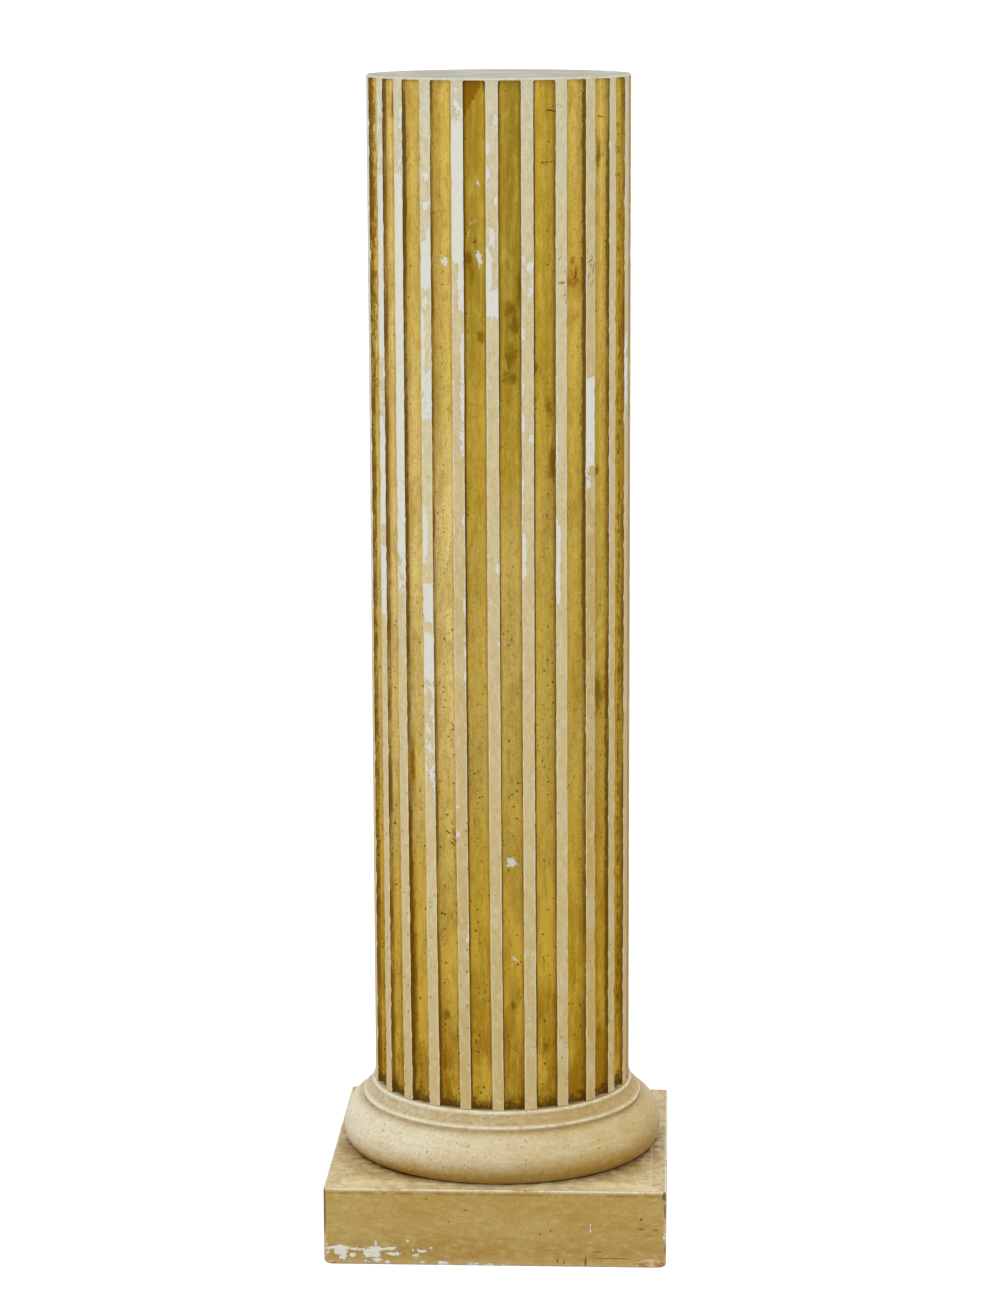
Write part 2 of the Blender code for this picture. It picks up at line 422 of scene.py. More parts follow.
def flute_gilding():
    """Worn gilding, burnished along the flute, with brown dirt and painted shade at its walls, brown dirt at
    its foot, and paler streaks that are partly painted sheen.
    """
    coat = Coat("flute_gilding", (182, 152, 66), 0.1)
    across = coat.attribute("flute_across")
    tone = coat.attribute("tone")
    side, _, height = coat.place.split()
    fine, broad = use(STREAKS, Place=coat.place, Along=(1.0, 1.0, 0.05))
    blotch = noise(coat.stretched(1.0, 1.0, 0.4), 34.0, 5.0, 0.62, 0.3)
    mottle = noise(coat.stretched(1.0, 1.0, 0.45), 170.0, 4.0, 0.65, 0.2)
    grain = noise(coat.stretched(1.0, 1.0, 0.7), 620.0, 3.0, 0.6)
    coat.colour = blend(tone * 2.0, (160, 134, 34), (188, 158, 50))
    coat.lay(tone * 2.0 - 1.0, (226, 202, 130))

    # Yellower and then browner towards the foot, with brushed and mottled tones over it; the paler of these
    # streaks and patches are partly painted sheen
    low_down = (blotch * 0.2 + height).ease(0.62, 0.34)
    coat.lay(low_down * 0.6, (192, 148, 20))
    coat.patch(blotch * 0.1 + height, 0.34, 0.20, 0.8, (152, 106, 2))
    coat.patch(blotch, 0.48, 0.62, 0.32, (162, 130, 32))
    coat.patch(blotch, 0.48, 0.34, 0.35, (218, 186, 84))
    coat.patch(mottle, 0.5, 0.64, 0.32, (170, 124, 24))
    coat.patch(mottle, 0.48, 0.34, 0.35, (212, 184, 84))
    coat.patch(broad, 0.48, 0.62, 0.35, (206, 176, 74))
    coat.patch(fine, 0.5, 0.66, 0.28, (142, 106, 20))
    coat.patch(grain, 0.52, 0.68, 0.40, (134, 98, 18))
    coat.lay(low_down * 0.6, (1.0, 0.98, 0.46, 1.0), "MULTIPLY")
    # Paler and darker clouds low down, the paler ones partly painted sheen
    cloud = noise(coat.stretched(1.0, 1.0, 0.3), 48.0, 4.0, 0.6, 0.4)
    coat.lay(low_down * cloud.ease(0.49, 0.36, 0.0, 0.6), (220, 184, 70))
    coat.lay(low_down * cloud.ease(0.52, 0.64, 0.0, 0.5), (146, 104, 6))
    dots = use(SPECKS, Place=coat.place, Spacing=0.0060, Share=0.42, Radius=0.17)
    coat.lay(dots * 0.85, (86, 58, 8))
    flecks = use(SPECKS, Place=coat.place, Spacing=0.0040, Share=0.5, Radius=0.30)
    clusters = noise(coat.stretched(1.0, 1.0, 0.5), 60.0, 3.0, 0.6)
    coat.lay(flecks * (height.ease(0.80, 0.50) * clusters.ease(0.44, 0.58, 0.12, 0.95)), (100, 66, 4))

    # Stains, amber runs, curled scratches, and bands of grime and painted shade on the flutes' walls
    coat.patch(coat.attribute("stain"), 0.1, 0.9, 0.7, (146, 110, 8))
    tall = coat.stretched(1.0, 1.0, 0.55)
    coat.lay(coat.ragged("stain", 240.0, 3.2, 0.2, tall) * 0.6, (114, 82, 2))
    coat.patch(coat.attribute("amber"), 0.05, 0.5, 0.5, (172, 122, 14))
    coat.lay(coat.ragged("amber", 160.0, 1.4, 0.14, tall) * 0.85, (140, 98, 0))
    coat.lay(strokes_on(coat.place, DARK_STROKES), (70, 48, 4))
    coat.lay(strokes_on(coat.place, PALE_STROKES) * 0.7, (216, 200, 140))
    # Bands on the walls: grime and painted shade
    coat.lay(coat.ragged("band", 260.0, 3.0, 0.13, coat.stretched(1.0, 1.0, 0.4)) * 0.75, (112, 78, 4))

    # The walls and the lip darkened with grime and painted shade, and the seam, a painted shadow partly of
    # grime, that shows dark at the left of each flute
    uneven = noise(coat.stretched(1.0, 1.0, 0.14), 110.0, 4.0, 0.65)
    walls = calc("MAXIMUM", across.ease(-0.87, -0.97), across.ease(0.90, 0.99))
    wall = walls * uneven.ease(0.38, 0.60, 0.15, 0.85)
    # Painted shade with grime: each flute's walls darkened in uneven patches
    coat.lay(wall, (138, 98, 14))
    coat.lay(abs(across).ease(0.978, 0.998) * uneven.ease(0.34, 0.55, 0.1, 0.65), (100, 74, 22))
    # Painted shadow, partly grime: a dark seam at each flute's left wall, shifted and weakened by how far
    # left or right the flute stands
    turned = side * (1.0 / SHAFT_RADIUS)
    inward = across - turned.ease(-0.05, 0.38, 0.0, 0.28)
    painted_shadow_seam = inward.ease(-0.925, -0.97) * turned.ease(-0.45, -0.05, 0.2, 0.8)
    coat.lay(painted_shadow_seam * uneven.ease(0.34, 0.50, 0.35, 1.0), (74, 50, 8))

    # Dirt that has settled at the foot, scuffs, and dust
    clump = noise(coat.stretched(1.0, 1.0, 0.8), 230.0, 4.0, 0.65)
    settled = clump * -0.036 + height - abs(across) ** 3.0 * 0.005
    dirt = settled.ease(0.1325, 0.1215, 0.0, 0.95)
    coat.lay(dirt, (100, 68, 8))
    rubbed = coat.ragged("scuff", 260.0, 2.4, 0.12)
    coat.lay(rubbed, (218, 221, 210))
    coat.lay(coat.attribute("dusty") * 0.9, (200, 184, 138))
    dull = calc("MAXIMUM", wall * 0.6, calc("MAXIMUM", dirt, rubbed))
    put(coat.tree, coat.shader.inputs["Metallic"], dull * -0.35 + 0.45)
    return coat.finish(dull * 0.2 + (mottle * 0.25 + 0.32), mottle * 0.8 + fine, 0.00025, 0.7)


def ring_paint():
    """Cream paint on the turned ring, speckled, and toned brown where its mouldings meet, partly as painted
    shade; lighter to the left as painted highlight, and browner to the right and underneath as painted shade.
    """
    coat = Coat("ring_paint", (205, 190, 150), 0.3)
    dust = coat.attribute("dust")
    blotch = noise(coat.stretched(1.0, 1.0, 2.0), 24.0, 5.0, 0.6)
    brushed = noise(coat.stretched(0.3, 0.3, 2.2), 150.0, 4.0, 0.6)
    mottle = noise(coat.stretched(1.0, 1.0, 1.6), 190.0, 5.0, 0.65)
    grain = noise(coat.place, 620.0, 3.0, 0.6)
    # Lighter to the left as painted highlight, browner to the right and low down as painted shade, over aged
    # toning of the paint
    older_and_lit = (blotch - 0.5) * 1.1 + coat.attribute("age_and_painted_light")
    coat.colour = blend(older_and_lit.ease(0.0, 1.15), (214, 207, 180), (184, 158, 96))
    coat.patch(brushed, 0.50, 0.64, 0.2, (186, 162, 106))
    coat.patch(brushed, 0.48, 0.36, 0.16, (220, 212, 184))
    coat.patch(mottle, 0.49, 0.64, 0.30, (184, 156, 98))
    coat.patch(mottle, 0.47, 0.34, 0.2, (214, 205, 174))
    coat.patch(grain, 0.53, 0.70, 0.42, (154, 122, 68))
    coat.lay(use(SPECKS, Place=coat.place, Spacing=0.0040, Share=0.46, Radius=0.22) * 0.85, (112, 80, 32))
    # Brown in the hollows and low on the right: partly dirt and partly painted shade
    coat.lay(coat.attribute("hollow_toning_and_painted_shade") * mottle.ease(0.25, 0.65, 0.65, 1.2), (152, 120, 54))
    patchy = noise(coat.place, 120.0, 4.0, 0.65)
    coat.lay(coat.attribute("arris") * patchy.ease(0.36, 0.58, 0.2, 0.85), (220, 214, 190))
    coat.lay(dust, blend(mottle.ease(0.42, 0.58), (196, 184, 150), (128, 102, 56)))
    coat.patch(dust, 0.6, 1.0, 0.8, (112, 82, 32))
    return coat.finish(mottle * 0.25 + 0.38, mottle, 0.0003, 0.6)


def plinth_paint(name, base, dirty):
    """Brushed ochre paint, dirty by an amount, rubbed pale at arrises, chipped to gesso or worn to wood."""
    coat = Coat(name, base, 0.25)
    grime_and_painted_shade = coat.attribute("grime_and_painted_shade")
    fine, broad = use(STREAKS, Place=coat.place, Along=(0.12, 0.12, 1.0))
    blotch = noise(coat.stretched(0.4, 0.4, 1.7), 24.0, 5.0, 0.6)
    mottle = noise(coat.stretched(0.55, 0.55, 1.1), 150.0, 5.0, 0.65)
    coat.patch(blotch, 0.46, 0.62, 0.45, (188, 162, 102))
    coat.patch(blotch, 0.48, 0.34, 0.45, (164, 130, 62))
    coat.patch(mottle, 0.50, 0.62, dirty + 0.06, (148, 114, 54))
    coat.patch(mottle, 0.48, 0.37, 1.4 * dirty + 0.04, (206, 190, 142))
    coat.patch(broad, 0.48, 0.64, 0.16, (192, 168, 108))
    coat.patch(fine, 0.5, 0.70, 0.22, (150, 118, 56))
    grain = noise(coat.stretched(0.7, 0.7, 1.0), 560.0, 3.0, 0.6)
    coat.patch(grain, 0.50, 0.64, 1.3 * dirty, (118, 90, 44))
    coat.patch(grain, 0.48, 0.36, 0.9 * dirty, (212, 198, 156))
    coat.lay(use(SPECKS, Place=coat.place, Spacing=0.0085, Share=0.20, Radius=0.085) * 0.85, (96, 64, 22))
    # Paler where marked, most on the top just in front of the ring, where the pale is painted light
    coat.lay(coat.attribute("pale") * mottle.ease(0.42, 0.58, 1.0, 1.0 - 0.9 * dirty), (220, 205, 160))
    coat.lay(grime_and_painted_shade * mottle.ease(0.36, 0.60, 0.3, 1.35), (142, 96, 26))
    # Near black where the field is strongest, at the ring's foot: painted shade with dirt
    coat.patch(grime_and_painted_shade, 0.72, 1.0, 0.8, (84, 54, 16))
    patchy = noise(coat.place, 110.0, 4.0, 0.65)
    coat.lay(coat.attribute("arris") * patchy.ease(0.34, 0.52, 0.3, 1.0), (224, 219, 198))
    timber = blend(mottle.ease(0.42, 0.58), (164, 114, 64), (212, 180, 142))
    coat.lay(coat.ragged("wood", 260.0, 2.6, 0.2) * 0.85, timber)
    coat.lay(coat.ragged("nick", 420.0, 1.4, 0.25) * 0.85, (92, 68, 34))
    bare = coat.ragged("chip", 280.0, 3.6, place=coat.stretched(0.5, 0.5, 1.3))
    coat.lay(bare, (216, 213, 198))
    return coat.finish(broad * 0.2 + 0.42, mottle * 0.5 - bare * 1.2, 0.0003)


def top_paint():
    """Dull grey-cream paint under dust, rubbed pale at its rim."""
    coat = Coat("top_board_paint", (174, 174, 156), 0.2)
    fine = noise(coat.place, 320.0, 3.0, 0.6)
    blotch = noise(coat.place, 22.0, 5.0, 0.6)
    coat.colour = blend(blotch.ease(0.40, 0.60), (174, 174, 158), (158, 156, 136))
    coat.patch(fine, 0.5, 0.70, 0.4, (192, 188, 166))
    coat.lay(use(SPECKS, Place=coat.place, Spacing=0.008, Share=0.2, Radius=0.09) * 0.6, (110, 94, 60))
    patchy = noise(coat.place, 110.0, 4.0, 0.65)
    coat.lay(coat.attribute("arris") * patchy.ease(0.36, 0.56, 0.4, 0.9), (208, 203, 182))
    return coat.finish(fine * 0.25 + 0.6, fine, 0.0002, 0.5)


# Pieces

def store(mesh, name, values):
    """Puts one value per vertex in a named attribute."""
    layer = mesh.attributes.new(name, "FLOAT", "POINT")
    layer.data.foreach_set("value", np.asarray(values, np.float32).ravel())


def points_of(mesh):
    flat = np.zeros(len(mesh.vertices) * 3, np.float32)
    mesh.vertices.foreach_get("co", flat)
    return flat.reshape(-1, 3).astype(float)


def set_points(mesh, points):
    mesh.vertices.foreach_set("co", np.asarray(points, np.float32).ravel())
    mesh.update()


def rounds(angle, radius, height):
    """Points from their angles, radii and heights."""
    return np.stack([radius * np.cos(angle), radius * np.sin(angle), height], axis=1)


def waves(rng, values, lengths, size):
    """A smooth random line along values, made of a few waves of the given lengths."""
    total = np.zeros_like(values)
    for length in lengths:
        total += np.sin(2 * np.pi * values / length + rng.uniform(0, 2 * np.pi)) * rng.uniform(0.5, 1.0)
    return size * total / len(lengths)


def grid_faces(rows, columns):
    """Quads between rows of points, each row closed on itself."""
    faces = []
    for row in range(rows - 1):
        for column in range(columns):
            after = (column + 1) % columns
            start = row * columns
            below = start + columns
            faces.append((start + column, below + column, below + after, start + after))
    return faces


def show(mesh, finishes, sharpness, node):
    """A finished skin, put in the scene on the one body, in place of its solid."""
    for finish in finishes:
        mesh.materials.append(finish)
    mesh.shade_smooth()
    mesh.set_sharp_from_angle(angle=sharpness)
    obj = bpy.data.objects.new(node + "_skin", mesh)
    bpy.context.scene.collection.objects.link(obj)
    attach(obj, "root")
    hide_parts(node)


def column_tree():
    """Geometry Nodes: a cylinder whose columns of points are moved onto fillets and flutes."""
    tree = bpy.data.node_groups.new("Fluted column", "GeometryNodeTree")
    sockets = {
        "Radius": "Float",
        "Foot": "Float",
        "Top": "Float",
        "Flutes": "Int",
        "Fillet Width": "Float",
        "Flute Depth": "Float",
        "Squareness": "Float",
        "Fillet Columns": "Int",
        "Flute Columns": "Int",
        "Rows": "Int",
        "Fillet Finish": "Material",
        "Flute Finish": "Material",
    }
    for label, kind in sockets.items():
        tree.interface.new_socket(label, in_out="INPUT", socket_type="NodeSocket" + kind)
    tree.interface.new_socket("Geometry", in_out="OUTPUT", socket_type="NodeSocketGeometry")
    entry = tree.nodes.new("NodeGroupInput").outputs
    given = {label: Field(entry[label]) for label in sockets}
    out = tree.nodes.new("NodeGroupOutput").inputs

    each = given["Fillet Columns"] + given["Flute Columns"]
    columns = given["Flutes"] * each
    sizes = {
        "Vertices": columns,
        "Side Segments": given["Rows"],
        "Radius": given["Radius"],
        "Depth": given["Top"] - given["Foot"],
    }
    cylinder = add(tree, "GeometryNodeMeshCylinder", sizes, fill_type="NGON")

    column = calc("MODULO", Field(add(tree, "GeometryNodeInputIndex").outputs[0]), columns)
    bay = calc("FLOOR", (column + 0.5) / each)
    step = column - bay * each
    pitch = 2 * math.pi / given["Flutes"]
    half_fillet = given["Fillet Width"] / given["Radius"] / 2.0
    half_pitch = pitch / 2.0

    fillet_across = step / given["Fillet Columns"] * 2.0 - 1.0
    flute_step = step - given["Fillet Columns"]
    flute_across = calc("COSINE", flute_step / given["Flute Columns"] * math.pi) * -1.0
    flute_angle = (half_pitch - half_fillet) * flute_across + half_pitch
    open_part = calc("MAXIMUM", 1.0 - abs(flute_across) ** given["Squareness"], 0.0)
    curve = open_part ** (1.0 / given["Squareness"])

    on_flute = calc("GREATER_THAN", flute_step, 0.5)
    radius = given["Radius"] - given["Flute Depth"] * curve * on_flute
    local = flute_angle * on_flute + half_fillet * fillet_across * (1.0 - on_flute)
    angle = bay * pitch - math.pi / 2 + local
    level = Field(add(tree, "GeometryNodeInputPosition").outputs[0]).split()[2]
    height = level + (given["Top"] + given["Foot"]) / 2.0
    parts = {"X": radius * calc("COSINE", angle), "Y": radius * calc("SINE", angle), "Z": height}
    place = Field(add(tree, "ShaderNodeCombineXYZ", parts).outputs[0])
    shape = Field(cylinder.outputs["Mesh"])
    geometry = Field(add(tree, "GeometryNodeSetPosition", {"Geometry": shape, "Position": place}).outputs[0])

    at_left = calc("LESS_THAN", step, 0.5)
    flute_side = flute_across * (1.0 - at_left) + at_left
    fields = {"fillet_across": fillet_across, "flute_across": flute_side, "on_flute": on_flute}
    for name, value in fields.items():
        inputs = {"Geometry": geometry, "Name": name, "Value": value}
        kept = add(tree, "GeometryNodeStoreNamedAttribute", inputs, data_type="FLOAT", domain="POINT")
        geometry = Field(kept.outputs["Geometry"])
    whole = Field(add(tree, "GeometryNodeRealizeInstances", {"Geometry": geometry}).outputs["Geometry"])
    inputs = {"Geometry": whole, "Material": given["Fillet Finish"]}
    painted = Field(add(tree, "GeometryNodeSetMaterial", inputs).outputs["Geometry"])
    mask = add(tree, "GeometryNodeInputNamedAttribute", {"Name": "on_flute"}, data_type="FLOAT")
    pair = {0: Field(mask.outputs["Attribute"]), 1: 0.2}
    in_flute = Field(add(tree, "FunctionNodeCompare", pair, operation="GREATER_THAN").outputs["Result"])
    inputs = {"Geometry": painted, "Selection": in_flute, "Material": given["Flute Finish"]}
    put(tree, out["Geometry"], Field(add(tree, "GeometryNodeSetMaterial", inputs).outputs["Geometry"]))
    return tree


# Paint lost from a fillet, which is counted to the right from the middle one: heights, sides from -1 to 1,
# and how much
Loss = namedtuple("Loss", "fillet low high left right amount")

LOSSES = [
    Loss(-5, 0.60, 1.09, -1.0, 1.0, 0.62),
    Loss(-4, 1.01, 1.09, -1.0, 1.0, 0.55),
    Loss(-4, 0.838, 1.01, -1.0, 1.0, 1.0),
    Loss(-4, 0.785, 0.838, -1.0, 1.0, 0.5),
    Loss(-4, 0.684, 0.785, -1.0, 1.0, 0.95),
    Loss(-4, 0.667, 0.684, -1.0, 1.0, 0.5),
    Loss(-4, 0.60, 0.667, -1.0, 1.0, 0.9),
    Loss(-3, 1.048, 1.07, 0.0, 1.0, 0.7),
    Loss(-3, 1.012, 1.048, -0.6, 1.0, 0.42),
    Loss(-3, 0.66, 1.012, -1.0, 1.0, 1.0),
    Loss(-3, 0.625, 0.66, -1.0, 1.0, 0.6),
    Loss(-2, 1.045, 1.049, -1.0, -0.4, 0.7),
    Loss(-2, 1.005, 1.013, -0.8, 0.8, 0.8),
    Loss(-2, 0.977, 0.986, -0.6, 0.8, 0.8),
    Loss(-2, 0.947, 0.963, 0.0, 1.0, 0.8),
    Loss(-2, 0.906, 0.952, -1.0, 1.0, 1.0),
    Loss(-2, 0.886, 0.906, -1.0, 0.4, 0.6),
    Loss(-2, 0.835, 0.89, -1.0, -0.2, 0.8),
    Loss(-2, 0.785, 0.836, -1.0, 1.0, 0.72),
    Loss(-2, 0.742, 0.785, -1.0, -0.6, 0.7),
    Loss(-2, 0.652, 0.708, -1.0, 0.1, 0.85),
    Loss(-2, 0.60, 0.638, -1.0, 1.0, 0.9),
    Loss(-2, 0.546, 0.592, -1.0, 1.0, 0.95),
    Loss(-2, 0.43, 0.546, -1.0, 1.0, 0.48),
    Loss(-1, 1.06, 1.09, -0.6, 1.0, 0.5),
    Loss(-1, 0.931, 1.06, -1.0, 1.0, 1.0),
    Loss(-1, 0.888, 0.931, 0.0, 1.0, 0.9),
    Loss(-1, 0.757, 0.873, 0.3, 1.0, 0.75),
    Loss(-1, 0.685, 0.709, 0.6, 1.0, 0.8),
    Loss(-1, 0.61, 0.63, 0.6, 1.0, 0.75),
    Loss(-1, 0.543, 0.597, 0.6, 1.0, 0.6),
    Loss(-1, 0.430, 0.434, -1.0, -0.3, 0.8),
    Loss(-1, 0.400, 0.407, -1.0, -0.2, 0.9),
    Loss(-1, 0.297, 0.32, 0.6, 1.0, 0.7),
    Loss(0, 1.053, 1.062, 0.1, 1.0, 0.9),
    Loss(0, 1.025, 1.043, -1.0, -0.2, 0.8),
    Loss(0, 1.002, 1.018, -1.0, -0.2, 0.8),
    Loss(0, 0.984, 0.993, 0.2, 1.0, 0.8),
    Loss(0, 0.941, 0.966, -0.5, 0.5, 0.75),
    Loss(0, 0.909, 0.945, -1.0, 0.0, 0.9),
    Loss(0, 0.883, 0.907, -1.0, 1.0, 0.9),
    Loss(0, 0.76, 0.87, -1.0, -0.7, 0.6),
    Loss(0, 0.651, 0.661, 0.3, 1.0, 0.8),
    Loss(0, 0.624, 0.632, -1.0, -0.3, 0.8),
    Loss(0, 0.583, 0.590, 0.3, 1.0, 0.8),
    Loss(1, 0.900, 0.940, -1.0, 1.0, 0.56),
    Loss(1, 0.861, 0.874, -1.0, -0.4, 0.85),
    Loss(1, 0.81, 0.825, -1.0, -0.5, 0.8),
    Loss(1, 0.776, 0.796, -1.0, -0.4, 0.8),
    Loss(1, 0.708, 0.75, -1.0, -0.6, 0.75),
    Loss(1, 0.765, 0.779, 0.2, 1.0, 0.8),
    Loss(1, 0.645, 0.688, -1.0, -0.3, 0.9),
    Loss(1, 0.41, 0.645, -1.0, -0.8, 0.45),
    Loss(2, 0.708, 0.826, -1.0, -0.6, 0.6),
    Loss(2, 0.618, 0.697, -1.0, -0.2, 0.9),
    Loss(2, 0.54, 0.618, -1.0, -0.6, 0.5),
    Loss(3, 0.742, 0.826, -1.0, 1.0, 0.9),
    Loss(3, 0.72, 0.742, -1.0, 0.2, 0.45),
    Loss(5, 0.79, 0.86, -1.0, 0.6, 0.6),
]

# A mark in a flute, counted by the fillet on its left: height and side of its middle, its half sizes,
# how much
Mark = namedtuple("Mark", "flute height side tall wide amount")

STAINS = [
    Mark(-1, 1.090, 0.80, 0.006, 0.25, 0.8),
    Mark(-1, 0.935, -0.75, 0.006, 0.30, 1.1),
    Mark(-1, 0.920, -0.55, 0.010, 0.35, 0.6),
    Mark(-1, 0.864, 0.4, 0.005, 0.35, 0.9),
    Mark(-1, 0.878, 0.5, 0.006, 0.25, 0.6),
    Mark(0, 0.908, 0.85, 0.016, 0.22, 0.8),
    Mark(0, 0.888, 0.15, 0.006, 0.55, 0.9),
    Mark(0, 0.874, 0.45, 0.008, 0.40, 1.0),
    Mark(0, 0.846, 0.1, 0.009, 0.45, 0.85),
    Mark(0, 0.827, 0.1, 0.005, 0.75, 0.8),
    Mark(0, 0.240, 0.0, 0.004, 0.2, 0.9),
    Mark(1, 0.835, -0.6, 0.006, 0.3, 0.8),
    Mark(1, 0.80, 0.6, 0.010, 0.3, 0.7),
    Mark(1, 0.750, 0.85, 0.014, 0.2, 1.0),
    Mark(1, 0.198, 0.2, 0.004, 0.3, 0.8),
    Mark(3, 1.025, 0.3, 0.015, 0.3, 0.8),
    Mark(2, 0.931, 0.1, 0.004, 0.3, 0.8),
    Mark(2, 0.912, -0.3, 0.005, 0.3, 0.7),
    Mark(3, 0.737, 0.1, 0.004, 0.3, 1.0),
    Mark(3, 0.528, 0.2, 0.016, 0.6, 0.8),
    Mark(-2, 0.38, 0.6, 0.040, 0.3, 0.5),
    Mark(-2, 0.228, -0.5, 0.004, 0.3, 0.9),
]

AMBER_RUNS = [
    Mark(-4, 1.070, -0.2, 0.012, 0.45, 0.8),
    Mark(-3, 0.462, -0.84, 0.026, 0.14, 0.9),
    Mark(-3, 0.25, -0.9, 0.110, 0.22, 0.7),
    Mark(2, 0.913, 0.2, 0.018, 0.9, 0.54),
    Mark(2, 0.880, 0.0, 0.014, 0.5, 0.45),
    Mark(2, 0.53, 0.3, 0.030, 0.5, 0.45),
    Mark(3, 0.36, 0.0, 0.130, 0.9, 0.45),
    Mark(3, 0.20, 0.4, 0.050, 0.5, 0.5),
    Mark(-2, 0.19, -0.7, 0.030, 0.3, 0.6),
    Mark(4, 0.34, 0.0, 0.220, 0.9, 0.36),
    Mark(-5, 0.40, 0.0, 0.200, 0.9, 0.40),
    Mark(-4, 0.30, 0.3, 0.120, 0.8, 0.35),
    Mark(-5, 0.95, 0.4, 0.120, 0.8, 0.35),
]

SCUFFS = [
    Mark(-1, 1.003, 0.2, 0.003, 0.12, 1.1),
    Mark(-1, 0.935, 0.25, 0.0055, 0.24, 1.05),
    Mark(-2, 0.931, 0.0, 0.004, 0.3, 1.0),
    Mark(0, 0.377, 0.0, 0.004, 0.55, 1.0),
    Mark(0, 0.283, 0.2, 0.006, 0.3, 0.52),
    Mark(-3, 0.659, 0.85, 0.009, 0.12, 1.0),
    Mark(-3, 0.585, 0.85, 0.005, 0.12, 1.0),
]

# How far the foot of each front fillet has strayed to the right, in degrees
STRAY = {-5: 0.0, -4: 0.7, -3: 1.7, -2: 1.7, -1: 1.6, 0: 1.2, 1: 0.75, 2: 0.65, 3: 0.6, 4: 0.2, 5: 0.0}

# How far each front fillet stands to the right of its true place, all the way up, in degrees
OFF_PITCH = {-7: -0.9, -6: -1.8, -5: -2.7, -4: 0.2, -3: -0.5, -2: -0.25, -1: -0.1, 0: -0.22}
OFF_PITCH.update({1: -0.25, 2: 0.05, 3: 0.4, 4: 0.75, 5: 1.6, 6: -0.6})

# Fillets left wider than the rest, in degrees at each side
WIDER = {-5: 0.6, 5: 0.4}


# How bright the gilding is in each front flute, above and below the middle
Gilt = namedtuple("Gilt", "flute upper lower")

GILT = [
    Gilt(-5, 0.7, 0.75),
    Gilt(-4, 0.85, 1.0),
    Gilt(-3, 0.72, 0.95),
    Gilt(-2, 0.66, 1.0),
    Gilt(-1, 0.2, 0.62),
    Gilt(0, 0.05, 0.70),
    Gilt(1, 0.4, 0.62),
    Gilt(2, 0.62, 0.6),
    Gilt(3, 0.65, 0.58),
    Gilt(4, 0.5, 0.5),
    Gilt(5, 1.0, 1.0),
]

# How brown the paint of each front fillet has gone
BROWNED = {
    -6: 0.3, -5: 0.0, -4: 0.1, -3: 0.1, -2: 0.0, -1: 0.6,
    0: 0.4, 1: 0.3, 2: 0.28, 3: 1.2, 4: 0.8, 5: 0.8,
}

# Dark grime and painted shade in a flute, in bands on its walls: heights, sides in steps from 0 at its left
# arris to 1 at its right one, and how much
Band = namedtuple("Band", "flute low high left right amount")

BANDS = [
    Band(-5, 0.80, 1.09, 0.0, 0.20, 0.5),
    Band(-5, 0.30, 0.80, 0.0, 0.12, 0.5),
    Band(-4, 0.84, 1.09, 0.0, 0.05, 0.6),
    Band(-4, 0.15, 0.84, 0.0, 0.04, 0.5),
    Band(-3, 0.95, 1.08, 0.0, 0.13, 1.0),
    Band(-3, 0.55, 0.96, 0.0, 0.09, 0.75),
    Band(-3, 0.14, 0.42, 0.0, 0.15, 0.8),
    Band(-2, 0.14, 0.24, 0.0, 0.14, 0.85),
    Band(-2, 0.24, 1.05, 0.0, 0.06, 0.6),
    Band(-1, 0.14, 0.21, 0.0, 0.14, 0.9),
    Band(-1, 0.45, 0.75, 0.0, 0.10, 0.75),
    Band(0, 0.58, 0.84, 0.0, 0.14, 0.9),
    Band(0, 0.16, 0.58, 0.0, 0.08, 0.6),
    Band(1, 0.30, 0.62, 0.0, 0.10, 0.6),
    Band(2, 0.56, 1.09, 0.85, 1.0, 0.95),
    Band(2, 0.30, 0.56, 0.92, 1.0, 0.7),
    Band(3, 0.84, 1.02, 0.90, 1.0, 0.8),
    Band(3, 0.56, 0.84, 0.94, 1.0, 0.8),
    Band(3, 0.20, 0.56, 0.88, 1.0, 0.7),
    Band(4, 0.20, 1.06, 0.76, 0.90, 0.62),
]


def soft_box(value, low, high, edge):
    return smoothstep(low - edge, low + edge, value) * smoothstep(high + edge, high - edge, value)


def loss_field(fillet, across, height, rng):
    """How much of the paint is gone at each point of the fillets, from 0 to 1."""
    losses = list(LOSSES)
    for number in range(6, 19):
        for _ in range(rng.integers(5, 11)):
            low = rng.uniform(0.35, 1.05)
            tall = rng.choice([0.01, 0.02, 0.05, 0.12]) * rng.uniform(0.6, 1.4)
            side = rng.uniform(-1.0, 0.6)
            wide = rng.choice([0.4, 0.8, 2.0])
            losses.append(Loss(number, low, min(low + tall, 1.09), side, side + wide, rng.uniform(0.5, 1.0)))
    field = np.zeros_like(height)
    for item in losses:
        here = fillet == item.fillet % FLUTE_COUNT
        left = item.left - (0.8 if item.left <= -1.0 else 0.0)
        right = item.right + (0.8 if item.right >= 1.0 else 0.0)
        edge = min(0.007, 0.45 * (item.high - item.low))
        patch = soft_box(height, item.low, item.high, edge) * soft_box(across, left, right, 0.35)
        field = np.maximum(field, np.where(here, item.amount * patch, 0.0))
    flaking = np.where(across < 0, 0.47, 0.41) * np.abs(across) ** 3 * smoothstep(0.35, 0.70, height)
    return np.where(fillet < 0, 0.0, np.maximum(field, flaking))


def mark_field(marks, flute, across, height):
    field = np.zeros_like(height)
    for item in marks:
        here = flute == item.flute % FLUTE_COUNT
        reach = ((height - item.height) / item.tall) ** 2 + ((across - item.side) / item.wide) ** 2
        field = np.maximum(field, np.where(here, item.amount * np.exp(-0.7 * reach), 0.0))
    return field


